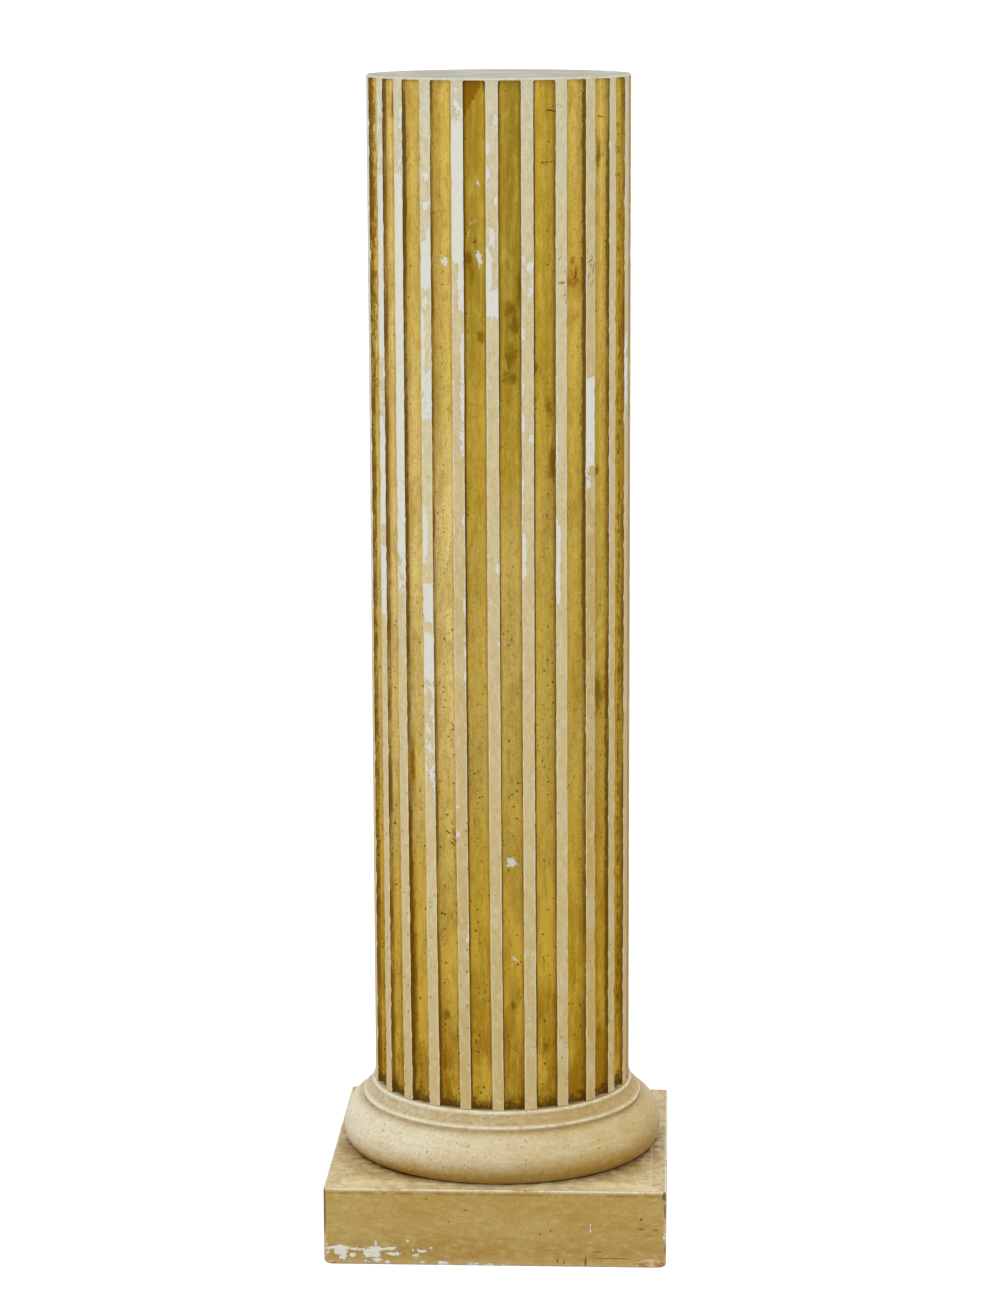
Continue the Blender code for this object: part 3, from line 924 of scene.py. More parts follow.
# Bands of grime and painted shade on the flutes' walls, listed and random
def band_field(flute, across, height, rng):
    bands = list(BANDS)
    for number in range(5, 19):
        low = rng.uniform(0.14, 0.6)
        bands.append(Band(number, low, low + rng.uniform(0.2, 0.5), 0.0, rng.uniform(0.1, 0.2), 0.75))
        low = rng.uniform(0.14, 0.7)
        bands.append(Band(number, low, low + rng.uniform(0.1, 0.4), rng.uniform(0.8, 0.9), 1.0, 0.7))
    step = np.arccos(np.clip(-across, -1.0, 1.0)) / np.pi
    field = np.zeros_like(height)
    for item in bands:
        here = flute == item.flute % FLUTE_COUNT
        left = item.left - (0.1 if item.left <= 0.0 else 0.0)
        right = item.right + (0.1 if item.right >= 1.0 else 0.0)
        patch = soft_box(height, item.low, item.high, 0.02) * soft_box(step, left, right, 0.04)
        field = np.maximum(field, np.where(here, item.amount * patch, 0.0))
    return field


def row_heights(rows):
    """Heights of the rows from the top down, close together near both ends."""
    top = np.linspace(FLUTE_END, FLUTE_END - 0.010, 13)
    foot = np.linspace(SHAFT_FOOT + 0.014, SHAFT_FOOT, 13)
    middle = np.linspace(top[-1], foot[0], rows + 1 - 24)
    return np.concatenate([top, middle[1:-1], foot])


def fluted_shaft():
    """The shaft, its flutes cut by Geometry Nodes, then made as uneven as a hand leaves them."""
    tree = column_tree()
    carrier = bpy.data.objects.new("column_carrier", bpy.data.meshes.new("column_carrier"))
    bpy.context.scene.collection.objects.link(carrier)
    modifier = carrier.modifiers.new("Fluted column", "NODES")
    modifier.node_group = tree
    given = {
        "Radius": SHAFT_RADIUS,
        "Foot": SHAFT_FOOT,
        "Top": SHAFT_TOP,
        "Flutes": FLUTE_COUNT,
        "Fillet Width": FILLET_WIDTH,
        "Flute Depth": FLUTE_DEPTH,
        "Squareness": FLUTE_SQUARENESS,
        "Fillet Columns": FILLET_COLUMNS,
        "Flute Columns": FLUTE_COLUMNS,
        "Rows": SHAFT_ROWS,
        "Fillet Finish": fillet_paint(),
        "Flute Finish": flute_gilding(),
    }
    for item in tree.interface.items_tree:
        if item.in_out == "INPUT":
            modifier[item.identifier] = given[item.name]
    evaluated = carrier.evaluated_get(bpy.context.evaluated_depsgraph_get())
    mesh = bpy.data.meshes.new_from_object(evaluated)
    mesh.name = "fluted_shaft_skin"
    bpy.data.objects.remove(carrier)

    rng = np.random.default_rng(SEED)
    points = points_of(mesh)
    columns = FLUTE_COUNT * (FILLET_COLUMNS + FLUTE_COLUMNS)
    column = np.arange(len(points)) % columns
    bay = column // (FILLET_COLUMNS + FLUTE_COLUMNS)
    step = column % (FILLET_COLUMNS + FLUTE_COLUMNS)
    sides = {}
    for name in ("fillet_across", "flute_across", "on_flute"):
        sides[name] = np.zeros(len(points), np.float32)
        mesh.attributes[name].data.foreach_get("value", sides[name])
    row = np.arange(len(points)) // columns
    downward = points[0, 2] > points[-1, 2]
    height = row_heights(SHAFT_ROWS)[row if downward else SHAFT_ROWS - row]
    angle = np.arctan2(points[:, 1], points[:, 0])
    radius = np.hypot(points[:, 0], points[:, 1])

    # The flute that a column of points belongs to, with the right arris given to the flute on its left
    flute = np.where(step == 0, bay - 1, bay) % FLUTE_COUNT
    near_top = np.clip((height - FLUTE_END + 0.002) / 0.002, 0.0, 1.0)
    flare = 0.0013 * (1 - np.sqrt(1 - near_top ** 2)) / SHAFT_RADIUS
    drop = np.clip((0.78 - height) / (0.78 - SHAFT_FOOT), 0.0, 1.0) ** 2
    left_line = np.zeros((FLUTE_COUNT, len(points)))
    right_line = np.zeros((FLUTE_COUNT, len(points)))
    for number in range(FLUTE_COUNT):
        signed = number if number <= FLUTE_COUNT // 2 else number - FLUTE_COUNT
        stray = math.radians(STRAY.get(signed, rng.uniform(-0.3, 0.8)))
        off_pitch = math.radians(OFF_PITCH.get(signed, rng.uniform(-0.5, 0.5)))
        narrow = 0.0035 if signed in (0, -1) else 0.0
        wider = math.radians(WIDER.get(signed, 0.0))
        common = off_pitch + stray * drop + waves(rng, height, (0.31, 0.17), 0.0010)
        left_wave = waves(rng, height, (0.09, 0.045, 0.021), 0.0018)
        left_line[number] = common + left_wave + narrow * drop - flare - wider
        right_wave = waves(rng, height, (0.08, 0.05, 0.019), 0.0018)
        right_line[number] = common + right_wave - narrow * drop + flare + wider
    every = np.arange(len(points))
    fillet_share = (sides["fillet_across"] + 1) / 2
    flute_share = (sides["flute_across"] + 1) / 2
    on_fillet = step <= FILLET_COLUMNS
    turn_fillet = left_line[bay, every] * (1 - fillet_share) + right_line[bay, every] * fillet_share
    following = (bay + 1) % FLUTE_COUNT
    turn_flute = right_line[bay, every] * (1 - flute_share) + left_line[following, every] * flute_share
    turn = np.where(on_fillet, turn_fillet, turn_flute)

    # Arrises are rubbed off a little, and the flutes' floors are not quite true
    arris = on_fillet & ((step == 0) | (step == FILLET_COLUMNS))
    nicks = rng.uniform(0.0, 1.0, len(points)) ** 6
    radius = radius - np.where(arris, 0.00025 + 0.0009 * nicks, 0.0)
    floor_wave = np.zeros(len(points))
    for number in range(FLUTE_COUNT):
        here = flute == number
        floor_wave[here] = waves(rng, height[here], (0.23, 0.11, 0.06), 0.0003)
    radius = radius + np.where(step > FILLET_COLUMNS, floor_wave * (1 - np.abs(sides["flute_across"])), 0.0)
    radius = np.minimum(radius, SHAFT_RADIUS)
    angle = angle + turn
    set_points(mesh, rounds(angle, radius, height))

    # What the finishes read: tones, losses, stains, runs, scuffs and bands
    upper_tone = rng.uniform(0.25, 0.75, FLUTE_COUNT)
    lower_tone = rng.uniform(0.4, 0.8, FLUTE_COUNT)
    for item in GILT:
        upper_tone[item.flute % FLUTE_COUNT] = item.upper
        lower_tone[item.flute % FLUTE_COUNT] = item.lower
    lowered = smoothstep(0.9, 0.66, height)
    tone = upper_tone[flute] * (1 - lowered) + lower_tone[flute] * lowered
    browned = rng.uniform(0.2, 0.8, FLUTE_COUNT)
    for number, value in BROWNED.items():
        browned[number % FLUTE_COUNT] = value
    wall = np.arccos(np.clip(-sides["flute_across"], -1.0, 1.0)) / np.pi
    dusty = np.where(flute == 5, soft_box(wall, 0.70, 1.2, 0.06), 0.0)
    drift = np.zeros(len(points))
    for number in range(FLUTE_COUNT):
        here = flute == number
        drift[here] = waves(rng, height[here], (0.61, 0.33, 0.19), 0.10)
    store(mesh, "tone", np.clip(tone + drift, 0.0, 1.0))
    store(mesh, "browned", browned[bay])
    store(mesh, "dusty", dusty)
    store(mesh, "loss", loss_field(np.where(on_fillet, bay, -99), sides["fillet_across"], height, rng))
    store(mesh, "stain", mark_field(STAINS, flute, sides["flute_across"], height))
    amber = mark_field(AMBER_RUNS, flute, sides["flute_across"], height)
    run_side = 0.16 + 0.50 * smoothstep(1.060, 1.093, height)
    first_run = np.clip(0.5 + (run_side - wall) / 0.16, 0.0, 1.0) * smoothstep(1.058, 1.068, height)
    store(mesh, "amber", np.maximum(amber, np.where(flute == FLUTE_COUNT - 1, first_run, 0.0)))
    store(mesh, "scuff", mark_field(SCUFFS, flute, sides["flute_across"], height))
    store(mesh, "band", band_field(flute, sides["flute_across"], height, rng))
    show(mesh, (), SHAFT_SHARPNESS, "fluted_shaft")


def arc(centre, reach, rise, start, end, steps):
    """Points (radius, height) on an ellipse about centre, from one angle in degrees to another."""
    turns = np.radians(np.linspace(start, end, steps + 1))
    return [(centre[0] + reach * math.cos(t), centre[1] + rise * math.sin(t)) for t in turns]


def turned_mesh(name, profile, segments):
    """A closed solid turned about the Z axis. Its profile starts and ends on the axis."""
    inner = np.array(profile[1:-1])
    angles = np.linspace(0, 2 * np.pi, segments, endpoint=False)
    count = len(inner)
    rings = rounds(np.tile(angles, count), np.repeat(inner[:, 0], segments), np.repeat(inner[:, 1], segments))
    first, last = len(rings), len(rings) + 1
    points = np.vstack([rings, [(0, 0, profile[0][1])], [(0, 0, profile[-1][1])]])
    faces = grid_faces(count, segments)
    for side in range(segments):
        after = (side + 1) % segments
        faces.append((first, side, after))
        faces.append((last, (count - 1) * segments + after, (count - 1) * segments + side))
    mesh = bpy.data.meshes.new(name)
    mesh.from_pydata(points.tolist(), [], faces)
    mesh.validate()
    return mesh, points


def base_ring():
    """The turned ring: ledge, cavetto, bead, quirk and torus, a little uneven and worn on its two arrises."""
    bead_top = RING_TOP - LEDGE_BAND - CAVETTO_DROP
    torus_top = bead_top - BEAD_BAND - QUIRK_DROP
    belly = torus_top - TORUS_RISE
    quirk = (BEAD_RADIUS - 0.001, belly)
    tuck = (TORUS_RADIUS - TORUS_TUCK, belly)
    hollow_start = np.array((LEDGE_RADIUS, RING_TOP - LEDGE_BAND))
    hollow_end = np.array((BEAD_RADIUS - 0.001, bead_top))
    run = hollow_end - hollow_start
    sideways = np.array((run[1], -run[0])) / np.hypot(*run)
    profile = [(0.0, RING_TOP), (0.06, RING_TOP), (0.11, RING_TOP), (0.118, RING_TOP)]
    profile += [(radius, RING_TOP) for radius in np.linspace(0.1190, LEDGE_RADIUS - 0.0018, 5)]
    profile += arc((LEDGE_RADIUS - 0.0015, RING_TOP - 0.0015), 0.0015, 0.0015, 80, 0, 6)
    for share in np.linspace(0, 1, 17):
        profile.append(tuple(hollow_start + run * share + sideways * 0.008 * share * (1 - share)))
    profile += arc((BEAD_RADIUS - 0.0012, bead_top - 0.0012), 0.0012, 0.0012, 70, -10, 6)
    profile += arc((BEAD_RADIUS - 0.001, bead_top - BEAD_BAND + 0.0008), 0.001, 0.0008, 0, -80, 4)
    profile += arc(quirk, TORUS_RADIUS - quirk[0], TORUS_RISE, 90, 0, 34)
    profile += arc(tuck, TORUS_TUCK, belly - RING_FOOT, 0, -90, 20)[1:]
    profile += [(radius, RING_FOOT) for radius in (0.135, 0.12, 0.06, 0.0)]
    mesh, points = turned_mesh("base_ring_skin", profile, RING_SEGMENTS)
    rng = np.random.default_rng(SEED + 1)
    angle = np.arctan2(points[:, 1], points[:, 0])
    radius = np.hypot(points[:, 0], points[:, 1])
    height = points[:, 2].copy()
    on_ledge = height > RING_TOP - LEDGE_BAND - 0.0008
    ledge_edge = np.exp(-((radius - LEDGE_RADIUS + 0.0004) / 0.0009) ** 2) * on_ledge
    on_bead = (height > bead_top - 0.0026) * (height <= bead_top)
    bead_edge = np.exp(-((radius - BEAD_RADIUS) / 0.0009) ** 2) * on_bead
    uneven = np.zeros(len(points))
    for waves_round in (3, 5, 9, 14, 23):
        uneven += np.cos(waves_round * angle + rng.uniform(0, 6.28)) / math.sqrt(waves_round)
    radius = radius - 0.00012 * (uneven + 2.2) * (radius > 0.118)
    nick = np.zeros(len(points))
    for _ in range(34):
        spot = rng.uniform(-np.pi, np.pi)
        reach = np.angle(np.exp(1j * (angle - spot))) * LEDGE_RADIUS
        nick += rng.uniform(0.2, 0.9) * np.exp(-(reach / rng.uniform(0.0015, 0.004)) ** 2)
    radius = radius - 0.0006 * nick * (ledge_edge + 0.6 * bead_edge)
    set_points(mesh, rounds(angle, radius, height))
    # Brown toning in the cavetto, under the bead, at the torus's foot, low on the right and at the right end:
    # partly dirt and partly painted shade
    cavetto = soft_box(height, bead_top + 0.0006, RING_TOP - LEDGE_BAND - 0.001, 0.001)
    under_bead = np.exp(-((height - torus_top - 0.0005) / 0.0022) ** 2) * (height < bead_top - 0.0024)
    foot = smoothstep(RING_FOOT + 0.012, RING_FOOT + 0.0005, height)
    low = smoothstep(belly + 0.012, RING_FOOT + 0.004, height)
    right = np.clip(0.5 + 0.6 * np.cos(angle + 0.5), 0.0, 1.0)
    far_right = 0.45 * np.exp(-((angle + 0.2) / 0.35) ** 2) * smoothstep(RING_TOP - 0.012, belly, height)
    toned = 0.48 * cavetto + 0.5 * under_bead + 0.95 * foot + (0.3 + 0.8 * right) * low + far_right
    store(mesh, "hollow_toning_and_painted_shade", np.clip(toned, 0.0, 1.0))
    store(mesh, "arris", np.clip(ledge_edge + bead_edge, 0.0, 1.0))
    store(mesh, "dust", smoothstep(0.1232, 0.1165, radius) * (height > RING_TOP - 0.001))
    # Browner to the right and low down, lighter to the left: partly aged paint, partly painted highlight and
    # painted shade
    store(mesh, "age_and_painted_light", np.clip(0.45 + 0.5 * np.cos(angle + 0.15) + 0.5 * low, 0.0, 1.2))
    show(mesh, [ring_paint()], MOULDING_SHARPNESS, "base_ring")


def top_board():
    """The thin round board, its rim rubbed round."""
    rim = 0.0020
    profile = [(0.0, BOARD_TOP)]
    profile += [(radius, BOARD_TOP) for radius in np.linspace(0.008, SHAFT_RADIUS - rim - 0.0005, 16)]
    profile += arc((SHAFT_RADIUS - rim, BOARD_TOP - rim), rim, rim, 80, 0, 6)
    foot = FLUTE_END + 0.00002
    profile += [(SHAFT_RADIUS, foot + 0.0001), (SHAFT_RADIUS - 0.0001, foot), (0.06, foot), (0.0, foot)]
    mesh, points = turned_mesh("top_board_skin", profile, BOARD_SEGMENTS)
    rng = np.random.default_rng(SEED + 2)
    angle = np.arctan2(points[:, 1], points[:, 0])
    radius = np.hypot(points[:, 0], points[:, 1])
    nick = np.zeros(len(points))
    for _ in range(26):
        reach = np.angle(np.exp(1j * (angle - rng.uniform(-np.pi, np.pi)))) * SHAFT_RADIUS
        nick += rng.uniform(0.2, 1.0) * np.exp(-(reach / rng.uniform(0.0015, 0.005)) ** 2)
    radius = radius - 0.0006 * np.clip(nick, 0.0, 1.2) * (radius > SHAFT_RADIUS - 0.003)
    set_points(mesh, rounds(angle, radius, points[:, 2]))
    store(mesh, "arris", smoothstep(SHAFT_RADIUS - 0.0018, SHAFT_RADIUS - 0.0006, radius))
    show(mesh, [top_paint()], MOULDING_SHARPNESS, "top_board")


# A mark on the plinth's front: its sides and heights in metres, and how much
Chip = namedtuple("Chip", "left right low high amount")

FRONT_CHIPS = [
    Chip(-0.1559, -0.1366, 0.0140, 0.0188, 1.0),
    Chip(-0.1513, -0.1380, 0.0090, 0.0161, 1.0),
    Chip(-0.1466, -0.1386, 0.0049, 0.0106, 0.9),
    Chip(-0.1380, -0.1227, 0.0142, 0.0172, 0.95),
    Chip(-0.1353, -0.1296, 0.0072, 0.0117, 0.85),
    Chip(-0.1235, -0.1040, 0.0113, 0.0181, 1.0),
    Chip(-0.1247, -0.1060, 0.0074, 0.0131, 0.95),
    Chip(-0.1120, -0.1100, 0.0174, 0.0230, 0.9),
    Chip(-0.1040, -0.0907, 0.0143, 0.0181, 0.95),
    Chip(-0.1020, -0.0874, 0.0092, 0.0126, 0.9),
    Chip(-0.0829, -0.0801, 0.0229, 0.0249, 0.9),
    Chip(-0.0776, -0.0752, 0.0138, 0.0159, 0.8),
    Chip(-0.0724, -0.0634, 0.0128, 0.0158, 0.9),
    Chip(-0.0774, -0.0674, 0.0071, 0.0110, 0.95),
    Chip(-0.0610, -0.0580, 0.0156, 0.0182, 0.9),
    Chip(-0.1573, -0.1546, 0.0076, 0.0127, 0.8),
    Chip(-0.1582, -0.1566, 0.0180, 0.0232, 0.9),
    Chip(-0.1375, -0.1325, 0.0018, 0.0049, 0.85),
    Chip(-0.1222, -0.1158, 0.0024, 0.0060, 0.85),
    Chip(-0.1153, -0.1065, 0.0030, 0.0064, 0.85),
    Chip(-0.1029, -0.0978, 0.0014, 0.0044, 0.85),
    Chip(-0.0700, -0.0610, 0.0020, 0.0042, 0.6),
    Chip(-0.0540, -0.0430, 0.0000, 0.0045, 0.95),
    Chip(-0.0249, -0.0146, 0.0, 0.0034, 0.9),
    Chip(-0.0110, 0.0003, 0.0, 0.0030, 0.85),
    Chip(0.0069, 0.0134, 0.0, 0.0026, 0.8),
    Chip(0.1562, 0.1592, 0.0272, 0.0340, 1.0),
    Chip(0.0230, 0.0246, 0.0242, 0.0260, 0.75),
    Chip(0.0206, 0.0222, 0.0197, 0.0214, 0.65),
    Chip(0.0579, 0.0595, 0.0228, 0.0244, 0.75),
    Chip(0.0556, 0.0572, 0.0104, 0.0120, 0.65),
    Chip(0.1254, 0.1270, 0.0180, 0.0196, 0.65),
    Chip(0.0889, 0.0900, 0.0325, 0.0415, 0.7),
]

FRONT_NICKS = [
    Chip(-0.0652, -0.0632, 0.0641, 0.0661, 1.0),
    Chip(-0.0280, -0.0260, 0.0537, 0.0557, 1.0),
    Chip(-0.0438, -0.0418, 0.0418, 0.0438, 1.0),
    Chip(0.1350, 0.1378, 0.0460, 0.0484, 1.1),
    Chip(0.0513, 0.0533, 0.0342, 0.0362, 1.0),
    Chip(0.0414, 0.0434, 0.0308, 0.0328, 1.0),
    Chip(0.0578, 0.0596, 0.0040, 0.0080, 1.0),
    Chip(0.0640, 0.0656, 0.0030, 0.0072, 1.0),
    Chip(0.0840, 0.0858, 0.0010, 0.0095, 1.1),
    Chip(0.1340, 0.1400, 0.0372, 0.0386, 0.9),
    Chip(0.1470, 0.1540, 0.0364, 0.0378, 0.9),
    Chip(0.1400, 0.1480, 0.0309, 0.0321, 0.8),
    Chip(0.0910, 0.1020, 0.0147, 0.0159, 0.9),
    Chip(0.0930, 0.1280, 0.0083, 0.0094, 0.9),
    Chip(0.1565, 0.1605, 0.0660, 0.0745, 1.2),
    Chip(0.1575, 0.1605, 0.0480, 0.0640, 0.9),
    Chip(0.1575, 0.1605, 0.0120, 0.0260, 0.7),
    Chip(-0.1616, -0.1580, 0.0330, 0.0740, 1.7),
    Chip(0.0265, 0.0305, 0.0722, 0.0745, 0.6),
    Chip(0.0500, 0.0525, 0.0724, 0.0745, 0.5),
]

FRONT_WORN = [
    Chip(-0.1605, -0.1460, -0.004, 0.0035, 1.0),
    Chip(-0.1605, -0.1560, -0.004, 0.0120, 0.8),
    Chip(-0.1400, -0.0900, -0.004, 0.0012, 0.7),
    Chip(0.1290, 0.1605, -0.004, 0.0085, 1.0),
    Chip(0.0950, 0.1250, -0.004, 0.0016, 0.7),
    Chip(0.0100, 0.0500, -0.004, 0.0010, 0.6),
]


def mark_plate(marks, points, on_face):
    """How strongly rounded marks lie at each point of a plinth board's face."""
    field = np.zeros(len(points))
    for item in marks:
        wide = max((item.right - item.left) / 2, 1e-4)
        tall = max((item.high - item.low) / 2, 1e-4)
        sideways = np.abs(points[:, 0] - (item.left + item.right) / 2) / wide
        upward = np.abs(points[:, 2] - (item.low + item.high) / 2) / tall
        reach = (sideways ** 2.4 + upward ** 2.4) ** (1 / 2.4)
        blur = min(0.9, 0.0015 / min(wide, tall))
        amount = item.amount * smoothstep(1.0 + blur, 1.0 - blur, reach)
        field = np.maximum(field, np.where(on_face, amount, 0.0))
    return field


def eased(points, radius):
    """Points near the plinth's edges drawn in to a rounding, whose radius may differ from point to point."""
    half = np.array((PLINTH_HALF, PLINTH_HALF, PLINTH_TOP / 2))
    centre = np.array((0.0, 0.0, PLINTH_TOP / 2))
    local = points - centre
    core = half - radius[:, None]
    past = np.maximum(np.abs(local) - core, 0.0)
    length = np.linalg.norm(past, axis=1)
    shrink = np.where(length > radius, radius / np.maximum(length, 1e-9), 1.0)
    pulled = np.sign(local) * (np.minimum(np.abs(local), core) + past * shrink[:, None])
    return pulled + centre


RING_CONTACT = 0.143


def ring_grime_and_shade(x, y):
    """Brown dirt on the plinth's top round the ring's foot, widest at the ring's two sides, with a narrow
    painted shade line at the foot itself.
    """
    distance = np.maximum(np.hypot(x, y) - RING_CONTACT, 0.0)
    turn = np.arctan2(x, -y)
    wide = 0.12 + 0.88 * smoothstep(0.15, 0.75, np.abs(turn)) + 0.3 * smoothstep(0.5, 1.2, turn)
    spread = wide * (0.55 * np.exp(-distance / 0.009) + 0.25 * np.exp(-(distance / 0.024) ** 2))
    return np.clip(spread + 0.5 * np.exp(-distance / 0.0025), 0.0, 1.0)


def side_board(name, turn, marks, joint, pale_top, paint, top_finish, rng):
    """One mitred side of the plinth, with fine points on its two painted faces."""
    thick = SIDE_BOARD_THICKNESS
    near_top = [0.072, 0.0728, 0.0734, PLINTH_TOP]
    heights = np.concatenate([[0.0, 0.0006, 0.0013, 0.002], np.linspace(0.003, 0.071, 82), near_top])
    section = [(0.0, height) for height in heights]
    insets = np.concatenate([[0.0006, 0.0014, 0.0024], np.linspace(0.004, thick, 9)])
    section += [(-inset, PLINTH_TOP) for inset in insets]
    section += [(-thick, 0.037), (-thick, 0.0), (-0.007, 0.0), (-0.0022, 0.0), (-0.0009, 0.0)]
    section = np.array(section)
    ends = 1.0 - np.array([0.0, 0.003, 0.007, 0.013, 0.02])
    along = np.concatenate([-ends, np.linspace(-0.97, 0.97, 360 if turn == 0.0 else 180), ends[::-1]])
    reach = PLINTH_HALF + section[:, 0]
    x = np.outer(along, reach - MITRE_GAP)
    y = np.repeat(-reach[None, :], len(along), axis=0)
    z = np.repeat(section[None, :, 1], len(along), axis=0)
    points = np.stack([x, y, z], axis=2).reshape(-1, 3)
    count = len(section)
    faces = grid_faces(len(along), count)
    faces.append(tuple(range(count)))
    faces.append(tuple(range(len(points) - 1, len(points) - count - 1, -1)))
    upper = range(len(heights) + 1, len(heights) + 12)
    kinds = [1 if index in upper else 0 for index in range(count)] * (len(along) - 1) + [0, 0]

    # Rounding: least along the top, most at the foot of the corners
    near_end = smoothstep(0.150, 0.160, np.abs(points[:, 0]))
    low = smoothstep(0.012, 0.0, points[:, 2])
    wander = waves(rng, points[:, 0], (0.07, 0.031, 0.013), 0.0003)
    radius = 0.0011 + 0.0009 * low + 0.0030 * near_end * low + 0.0005 * near_end + wander
    outer = points[:, 1] < -(PLINTH_HALF - thick) - 1e-6
    shaped = eased(points, np.clip(radius, 0.0005, 0.005))
    points = np.where(outer[:, None], shaped, points)

    on_face = points[:, 1] < -(PLINTH_HALF - 0.004)
    chips, nicks, worn = (mark_plate(kind, points, on_face) for kind in marks)
    top_arris = np.exp(-(np.hypot(points[:, 1] + PLINTH_HALF, points[:, 2] - PLINTH_TOP) / 0.0016) ** 2)
    corner = np.exp(-((PLINTH_HALF - np.abs(points[:, 0])) / 0.0016) ** 2) * on_face
    foot = np.exp(-(points[:, 2] / 0.0022) ** 2) * on_face
    at_joint = np.exp(-((points[:, 1] + PLINTH_HALF - thick) / 0.0010) ** 2)
    inner_joint = at_joint * (points[:, 2] > PLINTH_TOP - 0.001)
    on_top = (points[:, 2] > PLINTH_TOP - 0.0008) & ~on_face
    # Paler on the top faces, most on the front board, as painted light in front of the ring; a little paler
    # towards the foot of the face
    pale = np.where(on_top, pale_top, 0.0) + 0.2 * smoothstep(0.010, 0.001, points[:, 2]) * on_face
    below_arris = np.exp(-((points[:, 2] - PLINTH_TOP + 0.0042) / 0.0012) ** 2) * on_face
    world_x = points[:, 0] * math.cos(turn) - points[:, 1] * math.sin(turn)
    world_y = points[:, 0] * math.sin(turn) + points[:, 1] * math.cos(turn)
    low_band = np.exp(-((points[:, 2] - 0.016) / 0.012) ** 2)
    grime_and_painted_shade = (0.5 * below_arris + 0.2 * low_band) * on_face + ring_grime_and_shade(world_x, world_y) * on_top
    arris = 0.95 * top_arris + 0.5 * corner + 0.2 * foot + joint * inner_joint
    mesh = bpy.data.meshes.new(name + "_skin")
    mesh.from_pydata(points.tolist(), [], faces)
    store(mesh, "chip", chips)
    store(mesh, "nick", nicks)
    store(mesh, "wood", worn)
    store(mesh, "arris", np.clip(arris, 0.0, 1.0))
    store(mesh, "grime_and_painted_shade", np.clip(grime_and_painted_shade, 0.0, 1.0))
    store(mesh, "pale", np.clip(pale, 0.0, 1.0))
    mesh.transform(Matrix.Rotation(turn, 4, "Z"))
    mesh.materials.append(paint)
    mesh.materials.append(top_finish)
    mesh.polygons.foreach_set("material_index", kinds)
    show(mesh, (), MOULDING_SHARPNESS, name)


def top_panel(paint):
    """The board set in between the four sides, its paint darkened round the ring."""
    half = PANEL_HALF + 0.0002
    count = 150
    line = np.linspace(-half, half, count)
    x, y = np.meshgrid(line, line, indexing="ij")
    upper = np.stack([x, y, np.full_like(x, PLINTH_TOP)], axis=2).reshape(-1, 3)
    distance = np.hypot(upper[:, 0], upper[:, 1])
    edge = half - np.maximum(np.abs(upper[:, 0]), np.abs(upper[:, 1]))
    upper[:, 2] -= 0.0004 * np.exp(-(edge / 0.001) ** 2)
    corners = [(-half, -half), (half, -half), (half, half), (-half, half)]
    lower = np.array([(*corner, PANEL_FOOT) for corner in corners])
    points = np.vstack([upper, lower])
    faces = []
    for i in range(count - 1):
        for j in range(count - 1):
            faces.append((i * count + j, (i + 1) * count + j, (i + 1) * count + j + 1, i * count + j + 1))
    start = count * count
    front = [i * count for i in range(count)]
    right = [(count - 1) * count + j for j in range(count)]
    back = [i * count + count - 1 for i in range(count - 1, -1, -1)]
    left = list(range(count - 1, -1, -1))
    for number, side in enumerate((front, right, back, left)):
        faces.append((start + number, start + (number + 1) % 4, *side[::-1]))
    faces.append((start, start + 3, start + 2, start + 1))
    mesh = bpy.data.meshes.new("plinth_top_panel_skin")
    mesh.from_pydata(points.tolist(), [], faces)
    turn = np.arctan2(upper[:, 1], upper[:, 0])
    filler = np.exp(-((distance - 0.1462) / 0.0006) ** 2) * soft_box(turn, -1.15, -0.35, 0.15)
    rest = np.zeros(4)
    for label in ("chip", "nick", "wood"):
        store(mesh, label, np.zeros(len(points)))
    store(mesh, "arris", np.append(0.3 * np.exp(-(edge / 0.0008) ** 2) + 0.7 * filler, rest))
    store(mesh, "grime_and_painted_shade", np.append(ring_grime_and_shade(upper[:, 0], upper[:, 1]), rest))
    # Paler towards the front, as painted light in front of the ring
    store(mesh, "pale", np.append(0.35 + 0.60 * smoothstep(-0.120, -0.145, upper[:, 1]), rest))
    show(mesh, [paint], MOULDING_SHARPNESS, "plinth_top_panel")


def random_chips(rng):
    """Chips, nicks and worn spots along the foot of a side that the photograph doesn't show."""
    chips = []
    nicks = []
    worn = []
    for _ in range(22):
        left = rng.uniform(-0.157, 0.14)
        low = rng.choice([0.0, 0.0, 0.004, 0.012])
        chips.append(Chip(left, left + rng.uniform(0.003, 0.014), low, low + rng.uniform(0.002, 0.005), 0.9))
        left = rng.uniform(-0.157, 0.155)
        low = rng.uniform(0.004, 0.066)
        nicks.append(Chip(left, left + rng.uniform(0.0015, 0.004), low, low + 0.0018, 0.9))
        left = rng.uniform(-0.16, 0.12)
        worn.append(Chip(left, left + rng.uniform(0.01, 0.05), -0.004, rng.uniform(0.0, 0.003), 0.8))
    return chips, nicks, worn


def plinth():
    rng = np.random.default_rng(SEED + 3)
    paint = plinth_paint("plinth_paint", (175, 145, 74), 0.09)
    top_finish = plinth_paint("plinth_top_paint", (184, 164, 110), 0.4)
    side_board("plinth_front", 0.0, (FRONT_CHIPS, FRONT_NICKS, FRONT_WORN), 0.4, 0.85, paint, top_finish, rng)
    for number, name, joint, pale_top in (
        (1, "plinth_right", 0.75, 0.35),
        (2, "plinth_back", 0.2, 0.35),
        (3, "plinth_left", 0.08, 0.35),
    ):
        side_board(name, number * math.pi / 2, random_chips(rng), joint, pale_top, paint, top_finish, rng)
    top_panel(top_finish)


# Studio

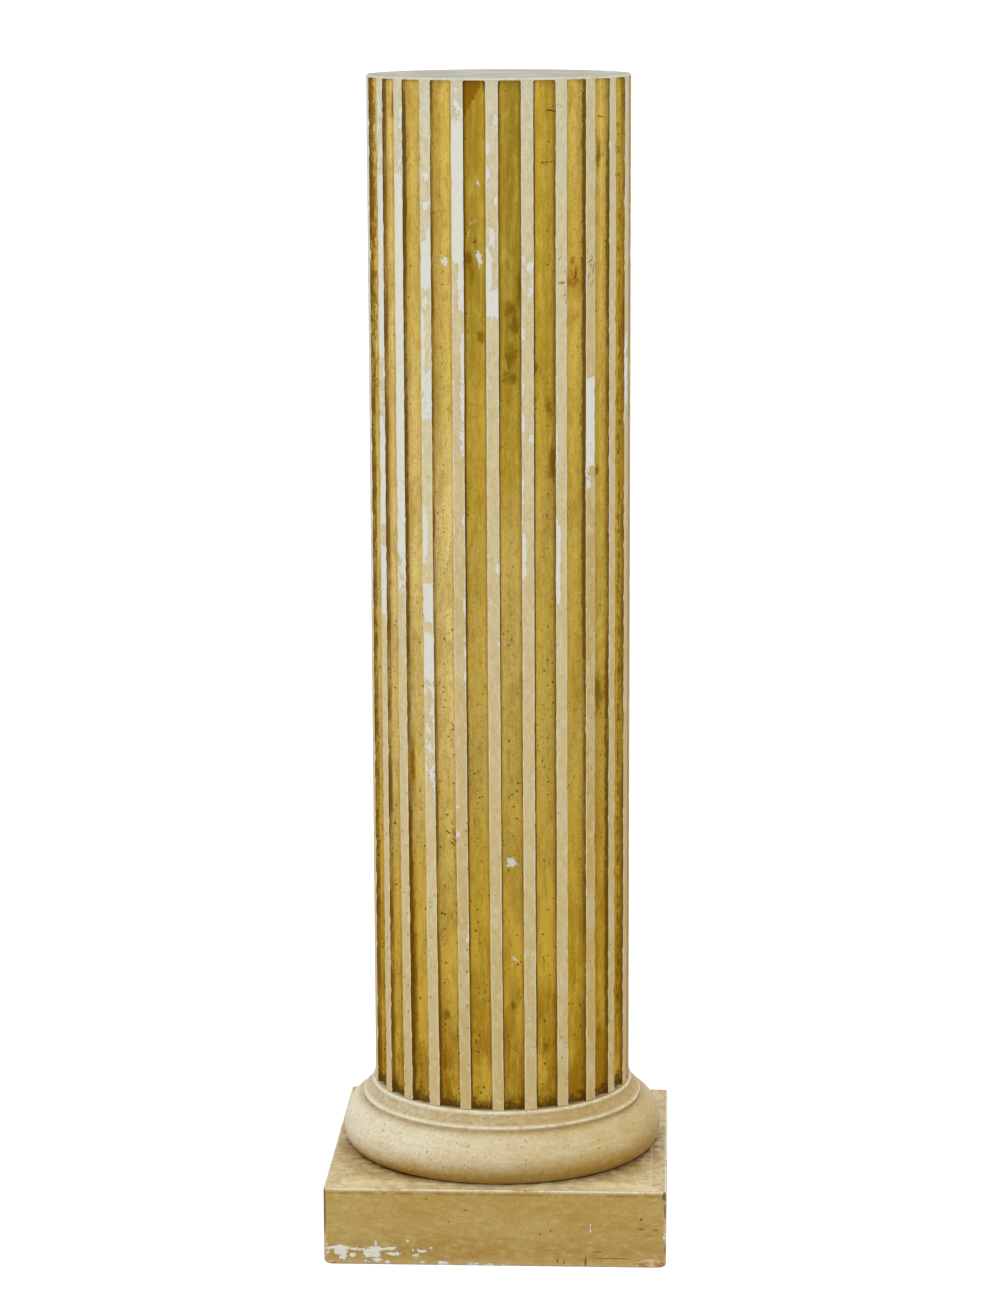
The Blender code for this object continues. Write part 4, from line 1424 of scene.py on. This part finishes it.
def floor_finish():
    """Pale and matt, and white to the camera alone, so that it throws up no more light than a pale floor."""
    material = bpy.data.materials.new("floor")
    material.use_nodes = True
    material.diffuse_color = (0.5, 0.5, 0.5, 1.0)
    tree = material.node_tree
    shader = tree.nodes["Principled BSDF"]
    shader.inputs["Base Color"].default_value = (0.5, 0.5, 0.5, 1.0)
    shader.inputs["Roughness"].default_value = 0.9
    shader.inputs["Emission Color"].default_value = (1.0, 1.0, 1.0, 1.0)
    seen = Field(add(tree, "ShaderNodeLightPath").outputs["Is Camera Ray"])
    put(tree, shader.inputs["Emission Strength"], seen * 0.75)
    return material


def studio():
    """A pale floor, white surroundings and soft light from all round, a little stronger from the front."""
    world = bpy.data.worlds.new("studio")
    world.use_nodes = True
    background = world.node_tree.nodes["Background"]
    background.inputs["Color"].default_value = (1.0, 1.0, 1.0, 1.0)
    background.inputs["Strength"].default_value = 1.0
    bpy.context.scene.world = world
    half = 120.0
    corners = [(-half, -half, 0), (half, -half, 0), (half, half, 0), (-half, half, 0)]
    mesh = bpy.data.meshes.new("floor")
    mesh.from_pydata(corners, [], [(0, 1, 2, 3)])
    mesh.materials.append(floor_finish())
    floor = bpy.data.objects.new("floor", mesh)
    bpy.context.scene.collection.objects.link(floor)
    for name, place, size, power in (
        ("left_light", (-3.2, -2.0, 1.7), 2.6, 36.0),
        ("right_light", (3.3, -1.9, 1.6), 2.6, 31.0),
        ("front_light", (-0.4, -4.4, 1.9), 2.4, 13.0),
        ("back_light", (0.6, 3.4, 2.4), 3.0, 22.0),
    ):
        light = bpy.data.lights.new(name, "AREA")
        light.size = size
        light.energy = power
        lamp = bpy.data.objects.new(name, light)
        lamp.location = place
        aim = Vector((0.0, 0.0, 0.55)) - lamp.location
        lamp.rotation_euler = aim.to_track_quat("-Z", "Y").to_euler()
        bpy.context.scene.collection.objects.link(lamp)


# Camera: fitted to the plinth's edges, the ring's circles and the shaft's outline in the photograph
CAMERA_PLACE = (0.16665, -3.49534, 1.21447)
CAMERA_YAW = 2.7384
CAMERA_PITCH = -10.6825
CAMERA_ROLL = -0.2102
CAMERA_LENS = 103.86


def camera():
    data = bpy.data.cameras.new("camera")
    data.lens = CAMERA_LENS
    data.sensor_width = 36.0
    eye = bpy.data.objects.new("camera", data)
    yaw = Matrix.Rotation(math.radians(CAMERA_YAW), 4, "Z")
    pitch = Matrix.Rotation(math.radians(90 + CAMERA_PITCH), 4, "X")
    roll = Matrix.Rotation(math.radians(CAMERA_ROLL), 4, "Z")
    eye.matrix_world = Matrix.Translation(CAMERA_PLACE) @ yaw @ pitch @ roll
    bpy.context.scene.collection.objects.link(eye)
    bpy.context.scene.camera = eye


camera()
studio()
fluted_shaft()
base_ring()
top_board()
plinth()
bpy.context.scene.view_settings.view_transform = "Standard"
